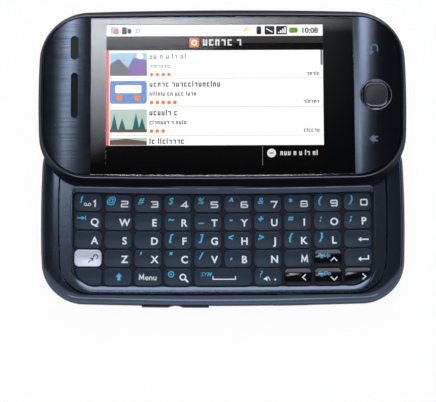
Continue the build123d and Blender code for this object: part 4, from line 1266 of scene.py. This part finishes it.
def make_nav_ring():
    """The gloss collar round the button: a rolled outer edge and a funnel down to the button."""
    low, high, radius = RING_LOW.z / MM, RING_HIGH.z / MM, (RING_HIGH.x - RING_LOW.x) / 2 / MM
    rings = [at_height(round_ring(radius), low)]
    for inset, drop in ((0, 0.12), (0.05, 0.04), (0.14, 0), (0.3, 0.03)):
        rings.append(at_height(round_ring(radius - inset), high - drop))
    for gap, level in ((0.45, high - 0.3), (0.16, high - 0.42), (0.14, low)):
        rings.append(at_height(squircle(*BUTTON_SIZE, gap), level))
    rings.append(rings[0])
    skin = paint_all(loft_rings(rings), "nav_gloss")
    # The collar's top is painted in the bright edge metal as a painted highlight ring.
    top = (high - 0.045) * MM
    paint_where(skin, "edge_line", lambda f: f.center.z > top)
    return shift(smooth(skin, 50), NAV_X, LID_Y)


def make_nav_button():
    """The soft square button: a lip painted bright as a painted highlight, round a gently domed face."""
    low, high = BUTTON_LOW.z / MM, BUTTON_HIGH.z / MM
    rings = [at_height(squircle(*BUTTON_SIZE), low)]
    for inset, drop in ((0, 0.3), (0.06, 0.16), (0.15, 0.07), (0.25, 0.07), (0.36, 0.16), (0.6, 0.17),
                        (1.2, 0.1), (1.9, 0.04), (2.6, 0.01), (3.2, 0)):
        rings.append(at_height(squircle(*BUTTON_SIZE, -inset, 3.4 - inset * 0.4), high - drop))
    skin = paint_all(loft_rings(rings, capped=True), "nav_satin")
    # The button's outer lip is painted in the bright edge metal as a painted highlight.
    lip = (high - 0.12) * MM
    paint_where(skin, "edge_line", lambda f: f.center.z > lip and hypot(f.center.x, f.center.y) > 3.15 * MM)
    return shift(smooth(skin, 50), NAV_X, LID_Y)


def make_touch_marks():
    """The back and home marks, printed on the crowned end panel."""
    marks = []
    x = 44.5 * MM
    for sign, size, y in (("back_mark", 1.3, 13.5 * MM), ("home_mark", 1, -13.2 * MM)):
        mark = sign_mesh(sign)
        mark.data.transform(Matrix.Scale(size, 4))
        marks.append(lay_on(mark, lambda px, py: crown_height_at(px), x, LID_Y + y, "touch_print"))
    return join(marks)


MESH_LOW, MESH_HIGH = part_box("earpiece_mesh")


def make_earpiece():
    """A woven grille over a dark backing, in the shape of the upright slot."""
    middle, size = (MESH_LOW + MESH_HIGH) / 2, MESH_HIGH - MESH_LOW
    backing = rounded_box(size.x, size.y, MESH_LOW.z, MESH_HIGH.z - 0.25 * MM, size.x / 2 - 1e-6, 0)
    paint_all(backing, "void_black")
    grid = woven_sheet(size.x, size.y - 0.3 * size.x, 0.62 * MM, 0.16 * MM)
    paint_all(shift(grid, z=MESH_HIGH.z - 0.09 * MM), "mesh_black")
    return shift(smooth(join([backing, grid]), 40), middle.x, middle.y)


def woven_sheet(width, depth, pitch, thread):
    """A flat weave about the origin, its threads at a slant, trimmed to a size."""
    cells = 2 * (int((width + depth) / (2 * pitch)) + 2)
    bpy.ops.mesh.primitive_grid_add(x_subdivisions=cells, y_subdivisions=cells, size=cells * pitch)
    grid = bpy.context.object
    grid.data.transform(Matrix.Rotation(radians(45), 4, "Z"))
    with editing(grid) as mesh:
        for side in (-1, 1):
            trim(mesh, (side * width / 2, 0, 0), (side, 0, 0), closed=False)
            trim(mesh, (0, side * depth / 2, 0), (0, side, 0), closed=False)
    apply_modifier(grid, "WIREFRAME", thickness=thread, use_even_offset=False)
    return grid


# ---------------------------------------------------------------- back, sockets and cable
def make_flex_skin():
    """The flat cable between the base and the lid, as one welded copy shaded smooth."""
    skin = welded_copy("flex_cable", "film_amber")
    skin.name = skin.data.name = "flex_cable_skin"
    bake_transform(skin)
    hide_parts("flex_cable")


def start_post(radius, low, high, x, y, sides=48):
    """A round post from a cylinder primitive."""
    bpy.ops.mesh.primitive_cylinder_add(vertices=sides, radius=radius, depth=high - low)
    return shift(bpy.context.object, x, y, (low + high) / 2)


def make_camera_module():
    """The camera: a stepped barrel with a bright ring and a coated, domed lens deep inside it."""
    low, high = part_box("camera_module")
    x, y = (low.x + high.x) / 2, (low.y + high.y) / 2
    body = welded_copy("camera_module", "module_black")
    ring_depth, barrel_depth, lens_radius, dome_rise = 0.3, 0.8, 1.5, 0.35
    for radius, depth in ((2.2, ring_depth), (1.6, barrel_depth)):
        carve(body, start_post(radius * MM, low.z - MM, low.z + depth * MM, x, y))
    shelf = low.z + ring_depth * MM
    paint_where(body, "trim", lambda f: abs(f.center.z - shelf) < 0.01 * MM and f.normal.z < -0.5)
    floor = low.z / MM + barrel_depth
    rings = [at_height(round_ring(lens_radius + 0.08, 48), floor - 0.01)]
    for k in range(6):
        turn = radians(14 * k)
        rings.append(at_height(round_ring(lens_radius * cos(turn), 48), floor - 0.08 - dome_rise * sin(turn)))
    lens = shift(smooth(loft_rings(rings, capped=True), 50), x, y)
    return join([paint_all(lens, "lens_coat"), smooth(body, 30)])


def make_screws():
    """The housing's screws, each with a cross recess in its head."""
    screws = welded_copy("housing_screws", "screw_steel")
    apart = 3 * MM
    heads = []
    for face in screws.data.polygons:
        if face.normal.z < -0.99:
            spots = next((head for head in heads if (head[0] - face.center).length < apart), None)
            if spots is None:
                spots = [face.center.copy()]
                heads.append(spots)
            spots += [screws.data.vertices[v].co.copy() for v in face.vertices]
    recess, arms = 0.28 * MM, ((0.4, 1.5), (1.5, 0.4))
    for spots in heads:
        x = (min(c.x for c in spots) + max(c.x for c in spots)) / 2
        y = (min(c.y for c in spots) + max(c.y for c in spots)) / 2
        level = min(c.z for c in spots)
        for width, depth in arms:
            carve(screws, start_box(width * MM, depth * MM, level - MM, level + recess, x, y))
    return smooth(screws, 30)


def make_speaker_grille():
    """The woven cloth behind the loudspeaker's slots."""
    low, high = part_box("loudspeaker")
    cloth = woven_sheet(9.6 * MM, 9.8 * MM, 0.5 * MM, 0.15 * MM)
    paint_all(cloth, "speaker_cloth")
    return shift(cloth, (low.x + high.x) / 2, (low.y + high.y) / 2, low.z - 0.12 * MM)


def make_usb_skin():
    """The data socket: a bright shell round a dark tongue with five gilt contacts."""
    low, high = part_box("usb_port")
    x, level = (low.x + high.x) / 2, low.z + 1.25 * MM
    pitch, width, depth, y = 0.65 * MM, 0.32 * MM, 2.6 * MM, low.y + 1.9 * MM
    face_low, face_high = level + 0.28 * MM, level + 0.34 * MM

    def on_tongue(face):
        near = abs(face.center.x - x) < 2 * MM and abs(face.center.z - level) < 0.4 * MM
        return near and face.center.y < high.y - MM / 2

    skin = welded_copy("usb_port", "steel")
    paint_where(skin, "module_black", on_tongue)
    pieces = [skin]
    for k in range(5):
        contact = start_box(width, depth, face_low, face_high, x + (k - 2) * pitch, y)
        with editing(contact) as mesh:
            bevel_edges(mesh, is_upright, 0.08 * MM, 3)
        pieces.append(paint_all(contact, "gold"))
    return join(pieces[::-1])


# ---------------------------------------------------------------- operators
class PhoneOperator:
    bl_options = {"REGISTER", "UNDO"}

    def execute(self, context):
        self.build()
        return {"FINISHED"}


class PHONE_OT_finishes(PhoneOperator, bpy.types.Operator):
    """Mix the phone's paints, metals, plastics and glass"""

    bl_idname = "phone.finishes"
    bl_label = "Finishes"

    def build(self):
        FINISHES.clear()
        FINISHES.update(make_finishes())
        FINISHES.update(("lit_" + name, lit(colour)) for name, colour in LIT_COLOURS.items())
        for name, material in FINISHES.items():
            material.name = name


class PHONE_OT_stage(PhoneOperator, bpy.types.Operator):
    """Set the floor, the studio lights and the camera"""

    bl_idname = "phone.stage"
    bl_label = "Stage"

    def build(self):
        make_floor()
        make_world()
        make_lights()
        make_camera()


class PHONE_OT_housings(PhoneOperator, bpy.types.Operator):
    """Paint the base's housings, frame, panel and battery cover"""

    bl_idname = "phone.housings"
    bl_label = "Base housings"

    def build(self):
        skin = paint_all(smooth(make_frame_skin(), 50), "slate_frame")
        install(skin, "front_frame_skin", "base", "front_frame", "front_frame")
        panel = smooth(welded_copy("keyboard_panel", "slate_panel"), 30)
        install(panel, "keyboard_panel_skin", "base", "keyboard_panel", "keyboard_panel")
        install(make_surround(), "keyboard_surround", "base", "keyboard_panel")
        dress("rear_housing", "slate_band")
        dress("battery_cover", "soft_black")
        dress("key_lattice", "web")
        dress("key_mat", "silicone")
        dress("dome_sheet", "dome_film")


class PHONE_OT_keys(PhoneOperator, bpy.types.Operator):
    """Model the key caps, one piece to each key body"""

    bl_idname = "phone.keys"
    bl_label = "Key caps"

    def build(self):
        for node in KEY_NODES:
            install(make_caps(node), node + "_caps", node, node, node)


class PHONE_OT_legends(PhoneOperator, bpy.types.Operator):
    """Print the letters, numbers and signs on the keys"""

    bl_idname = "phone.legends"
    bl_label = "Key legends"

    def build(self):
        for node in KEY_NODES:
            legends = make_legends(node)
            if legends:
                install(legends, node + "_legends", node, node)


class PHONE_OT_side_keys(PhoneOperator, bpy.types.Operator):
    """Paint the keys in the side walls"""

    bl_idname = "phone.side_keys"
    bl_label = "Side keys"

    def build(self):
        for node in ("volume_rocker", "camera_key", "power_key"):
            dress(node, "nav_satin")
        dress("side_switches", "module_black")


class PHONE_OT_sockets(PhoneOperator, bpy.types.Operator):
    """Finish the headphone jack, the data socket and its cover"""

    bl_idname = "phone.sockets"
    bl_label = "Sockets"

    def build(self):
        dress("audio_jack", "module_black")
        install(make_usb_skin(), "usb_port_skin", "base", "usb_port", "usb_port")
        dress("usb_cover", "slate_band")


class PHONE_OT_camera_eye(PhoneOperator, bpy.types.Operator):
    """Finish the rear camera, its window and the flash lamp"""

    bl_idname = "phone.camera_eye"
    bl_label = "Rear camera"

    def build(self):
        dress("camera_window", "tinted_glass")
        install(make_camera_module(), "camera_module_skin", "base", "camera_module", "camera_module")
        dress("flash_lamp", "lamp_gel")


class PHONE_OT_inner_pieces(PhoneOperator, bpy.types.Operator):
    """Finish the boards, the battery and the other pieces inside"""

    bl_idname = "phone.inner_pieces"
    bl_label = "Inner pieces"

    def build(self):
        chosen = {
            "battery": "cell_wrap",
            "main_board": "board_green",
            "board_shield": "shield_tin",
            "card_holder": "steel",
            "loudspeaker": "module_black",
            "vibration_motor": "steel",
            "lid_board": "board_green",
            "receiver": "module_black",
            "display_module": "module_black",
        }
        for node, finish_name in chosen.items():
            dress(node, finish_name)
        install(make_screws(), "housing_screws_skin", "base", "housing_screws", "housing_screws")
        install(make_speaker_grille(), "speaker_cloth", "base", "loudspeaker")


class PHONE_OT_slide(PhoneOperator, bpy.types.Operator):
    """Finish the slide's plate, bracket and flat cable, and the lid's back"""

    bl_idname = "phone.slide"
    bl_label = "Slide"

    def build(self):
        dress("slide_plate", "steel")
        dress("slide_bracket", "steel")
        make_flex_skin()
        dress("lid_back", "lid_back_paint")


class PHONE_OT_lid(PhoneOperator, bpy.types.Operator):
    """Paint the lid's gloss shell and its metal end panels"""

    bl_idname = "phone.lid"
    bl_label = "Lid shell"

    def build(self):
        install(make_lid_skin(), "lid_frame_skin", "lid", "lid_frame", "lid_frame")
        dress("earpiece_panel", "brushed_metal")
        # The right end panel takes the darker copy of the brushed metal, with a finer grain: painted shade.
        dress("nav_panel", "satin_metal")
        dress("sensor_window", "sensor_black")


class PHONE_OT_window(PhoneOperator, bpy.types.Operator):
    """Model the touch window and the black print behind it"""

    bl_idname = "phone.window"
    bl_label = "Touch window"

    def build(self):
        install(make_window(), "touch_window_glass", "lid", "touch_window", "touch_window")
        install(make_window_print(), "touch_window_print", "lid", "touch_window")


class PHONE_OT_picture(PhoneOperator, bpy.types.Operator):
    """Draw the display's picture"""

    bl_idname = "phone.picture"
    bl_label = "Display picture"

    def build(self):
        install(make_picture(), "display_picture", "lid", "display_module")


class PHONE_OT_front_keys(PhoneOperator, bpy.types.Operator):
    """Model the round collar, the soft square button and the touch marks"""

    bl_idname = "phone.front_keys"
    bl_label = "Front button and marks"

    def build(self):
        install(make_nav_ring(), "nav_ring_collar", "lid", "nav_ring", "nav_ring")
        install(make_nav_button(), "nav_button_cap", "nav_button", "nav_button", "nav_button")
        install(make_touch_marks(), "touch_marks", "lid", "nav_panel")


class PHONE_OT_earpiece(PhoneOperator, bpy.types.Operator):
    """Model the earpiece's woven grille"""

    bl_idname = "phone.earpiece"
    bl_label = "Earpiece grille"

    def build(self):
        install(make_earpiece(), "earpiece_grille", "lid", "earpiece_mesh", "earpiece_mesh")


# ---------------------------------------------------------------- stage
VIEW_TILT = radians(9.0)
VIEW_ROLL = radians(0.2)
VIEW_POINT = Vector((-1.4, 3.5, 9.0)) * MM
VIEW_DISTANCE = 0.650
FOCAL_PIXELS = 2200
PICTURE_WIDTH = 436
SENSOR = 36.0


def make_camera():
    data = bpy.data.cameras.new("camera")
    camera = bpy.data.objects.new("camera", data)
    bpy.context.scene.collection.objects.link(camera)
    back = Vector((0, -sin(VIEW_TILT), cos(VIEW_TILT)))
    up = Vector((0, cos(VIEW_TILT), sin(VIEW_TILT)))
    right = Vector((1, 0, 0))
    turned_right = right * cos(VIEW_ROLL) - up * sin(VIEW_ROLL)
    turned_up = right * sin(VIEW_ROLL) + up * cos(VIEW_ROLL)
    axes = Matrix((turned_right, turned_up, back)).transposed().to_4x4()
    camera.matrix_world = Matrix.Translation(VIEW_POINT + back * VIEW_DISTANCE) @ axes
    data.sensor_width = SENSOR
    data.lens = FOCAL_PIXELS * SENSOR / PICTURE_WIDTH
    bpy.context.scene.camera = camera


def make_floor():
    """The pale floor: nearly white to the camera, half white to reflections, and open from underneath."""
    bpy.ops.mesh.primitive_plane_add(size=4, location=(0, 0, -0.05 * MM))
    bpy.ops.object.transform_apply(location=True)
    floor = bpy.context.object
    floor.name = "floor"
    material = bpy.data.materials.new("floor_white")
    material.use_nodes = True
    tree = material.node_tree
    shader = tree.nodes["Principled BSDF"]
    shader.inputs["Base Color"].default_value = (0.85, 0.86, 0.88, 1)
    shader.inputs["Roughness"].default_value = 0.6
    white = add_node(tree, "ShaderNodeEmission", {"Color": (1, 1, 1, 1), "Strength": 1.0}).outputs["Emission"]
    rays = add_node(tree, "ShaderNodeLightPath").outputs
    mirrored = combine(tree, "MAXIMUM", rays["Is Glossy Ray"], rays["Is Transmission Ray"])
    mirrored_share = combine(tree, "MULTIPLY", mirrored, 0.5)
    camera_share = combine(tree, "MULTIPLY", rays["Is Camera Ray"], 0.95)
    share = combine(tree, "MAXIMUM", mirrored_share, camera_share)
    lit_floor = mix_shaders(tree, share, shader.outputs["BSDF"], white)
    below = add_node(tree, "ShaderNodeNewGeometry").outputs["Backfacing"]
    clear = add_node(tree, "ShaderNodeBsdfTransparent").outputs["BSDF"]
    both_sides = mix_shaders(tree, below, lit_floor, clear)
    tree.links.new(both_sides, tree.nodes["Material Output"].inputs["Surface"])
    floor.data.materials.append(material)


def make_world():
    """The studio round the phone: dark above, a soft glow in front, and white to the camera."""
    world = bpy.data.worlds.new("studio")
    bpy.context.scene.world = world
    world.use_nodes = True
    tree = world.node_tree
    background = tree.nodes["Background"]
    coords = add_node(tree, "ShaderNodeTexCoord")
    split = add_node(tree, "ShaderNodeSeparateXYZ", {0: coords.outputs["Generated"]}).outputs
    low_glow = {"Value": split["Z"], "From Min": 0.45, "From Max": 0.0, "To Min": 0.03, "To Max": 0.1}
    front_glow = {"Value": split["Y"], "From Min": 0.0, "From Max": -0.16, "To Min": 0.0, "To Max": 0.5}
    glows = [add_node(tree, "ShaderNodeMapRange", glow).outputs["Result"] for glow in (low_glow, front_glow)]
    background.inputs["Color"].default_value = (0.88, 0.93, 1.0, 1)
    tree.links.new(combine(tree, "ADD", *glows), background.inputs["Strength"])
    seen = add_node(tree, "ShaderNodeLightPath").outputs["Is Camera Ray"]
    white = add_node(tree, "ShaderNodeBackground", {"Color": (1, 1, 1, 1), "Strength": 1.0})
    mixed = mix_shaders(tree, seen, background.outputs["Background"], white.outputs["Background"])
    tree.links.new(mixed, tree.nodes["World Output"].inputs["Surface"])
    bpy.context.scene.view_settings.view_transform = "Standard"


def add_lamp(name, place, target, width, height, radiance, colour=(1, 1, 1)):
    """A soft rectangular lamp that faces a point; its power follows from its size and brightness."""
    data = bpy.data.lights.new(name, "AREA")
    data.shape, data.size, data.size_y = "RECTANGLE", width, height
    data.energy = radiance * pi * width * height
    data.color = colour
    lamp = bpy.data.objects.new(name, data)
    bpy.context.scene.collection.objects.link(lamp)
    aim = Vector(target) - Vector(place)
    lamp.matrix_world = Matrix.Translation(place) @ aim.to_track_quat("-Z", "Y").to_matrix().to_4x4()
    lamp.visible_camera = False
    return lamp


COOL = (0.86, 0.91, 1.0)


def make_lights():
    make_glare_panel()
    rear, high, front = radians(54), radians(30), radians(45)
    add_lamp("rear_box", (0, 0.55 * sin(rear), 0.55 * cos(rear)), (0, 0, 0), 0.6, 0.42, 2.8, COOL)
    add_lamp("high_box", (0.03, 0.6 * sin(high), 0.6 * cos(high)), (0.03, 0, 0), 0.5, 0.08, 1.0, COOL)
    add_lamp("front_box", (0, -0.5 * sin(front), 0.5 * cos(front)), (0, 0, 0), 0.5, 0.14, 1.5, COOL)
    add_lamp("left_box", (-0.42, 0.08, 0.22), (0, 0.02, 0), 0.3, 0.06, 0.35, COOL)
    add_lamp("right_box", (0.42, 0.08, 0.22), (0, 0.02, 0), 0.3, 0.06, 0.7, COOL)
    fill = add_lamp("fill_box", (0, -0.05, 0.9), (0, 0, 0), 0.9, 0.9, 0.55)
    fill.visible_glossy = fill.visible_transmission = False


def ramp(value, start, stop):
    """How far a value has come from start to stop, held between 0 and 1."""
    return max(0.0, min(1.0, (value - start) / (stop - start)))


def glare_level(x, y):
    """Brightness of the overhead soft box at a spot in millimetres, in two parts.

    The main part has a slanted right edge and a long fade to the left. The side part lies past its left end.
    """
    along = ramp(y, 185, 285) ** 1.4
    across = ramp(x, -140, -105) * ramp(x, 120, -45) ** 1.3
    right_edge = 18.5 + 1.08 * (y - 296)
    slant = ramp(x, right_edge + 7, right_edge - 7)
    main_part = along * across * max(ramp(y, 286, 295), 0.12 + 0.88 * slant)
    near_edge = 184 + 34 * ramp(x, -155, -190)
    side_across = ramp(x, -275, -150) * ramp(x, -106, -136)
    side_part = side_across * ramp(y, near_edge, near_edge + 16) * ramp(y, 300, 190) ** 1.4
    return max(main_part, 1.6 * side_part)


def make_glare_panel():
    """The overhead soft box, a lit sheet whose brightness is written on its mesh."""
    bpy.ops.mesh.primitive_grid_add(x_subdivisions=100, y_subdivisions=66, size=1)
    panel = bpy.context.object
    panel.name = "glare_panel"
    left, right, near, far, height = -320, 130, 155, 420, 1000
    level = panel.data.color_attributes.new("level", "FLOAT_COLOR", "POINT")
    for k, vertex in enumerate(panel.data.vertices):
        x = left + (right - left) * (vertex.co.x + 0.5)
        y = near + (far - near) * (vertex.co.y + 0.5)
        vertex.co = (x * MM, y * MM, height * MM)
        level.data[k].color = (*[glare_level(x, y)] * 3, 1)
    material = bpy.data.materials.new("glare")
    material.use_nodes = True
    tree = material.node_tree
    tree.nodes.remove(tree.nodes["Principled BSDF"])
    fade = add_node(tree, "ShaderNodeAttribute", attribute_name="level")
    strength = combine(tree, "MULTIPLY", fade.outputs["Fac"], 9.0)
    light = add_node(tree, "ShaderNodeEmission", {"Color": (*COOL, 1), "Strength": strength})
    clear = add_node(tree, "ShaderNodeBsdfTransparent")
    both = add_node(tree, "ShaderNodeAddShader", {0: light.outputs["Emission"], 1: clear.outputs["BSDF"]})
    tree.links.new(both.outputs["Shader"], tree.nodes["Material Output"].inputs["Surface"])
    panel.data.materials.append(material)
    panel.visible_camera = False


# ---------------------------------------------------------------- add-on
OPERATORS = (
    PHONE_OT_finishes,
    PHONE_OT_stage,
    PHONE_OT_housings,
    PHONE_OT_keys,
    PHONE_OT_legends,
    PHONE_OT_side_keys,
    PHONE_OT_sockets,
    PHONE_OT_camera_eye,
    PHONE_OT_inner_pieces,
    PHONE_OT_slide,
    PHONE_OT_lid,
    PHONE_OT_window,
    PHONE_OT_picture,
    PHONE_OT_front_keys,
    PHONE_OT_earpiece,
)


class VIEW3D_PT_phone(bpy.types.Panel):
    """Every step of the phone, in the order it is made"""

    bl_idname = "VIEW3D_PT_phone"
    bl_label = "Slider phone"
    bl_space_type = "VIEW_3D"
    bl_region_type = "UI"
    bl_category = "Slider phone"

    def draw(self, context):
        for group in (context.scene.phone_paints, context.scene.phone_sizes):
            box = self.layout.box()
            for name in group.bl_rna.properties.keys():
                if name not in ("rna_type", "name"):
                    box.prop(group, name)
        for operator in OPERATORS:
            self.layout.operator(operator.bl_idname)


CLASSES = (PhonePaints, PhoneSizes, *OPERATORS, VIEW3D_PT_phone)


def register():
    for one in CLASSES:
        bpy.utils.register_class(one)
    bpy.types.Scene.phone_paints = bpy.props.PointerProperty(type=PhonePaints)
    bpy.types.Scene.phone_sizes = bpy.props.PointerProperty(type=PhoneSizes)


def unregister():
    del bpy.types.Scene.phone_sizes
    del bpy.types.Scene.phone_paints
    for one in reversed(CLASSES):
        bpy.utils.unregister_class(one)


def main():
    register()
    for operator in OPERATORS:
        family, name = operator.bl_idname.split(".")
        getattr(getattr(bpy.ops, family), name)()


if __name__ == "__main__":
    main()
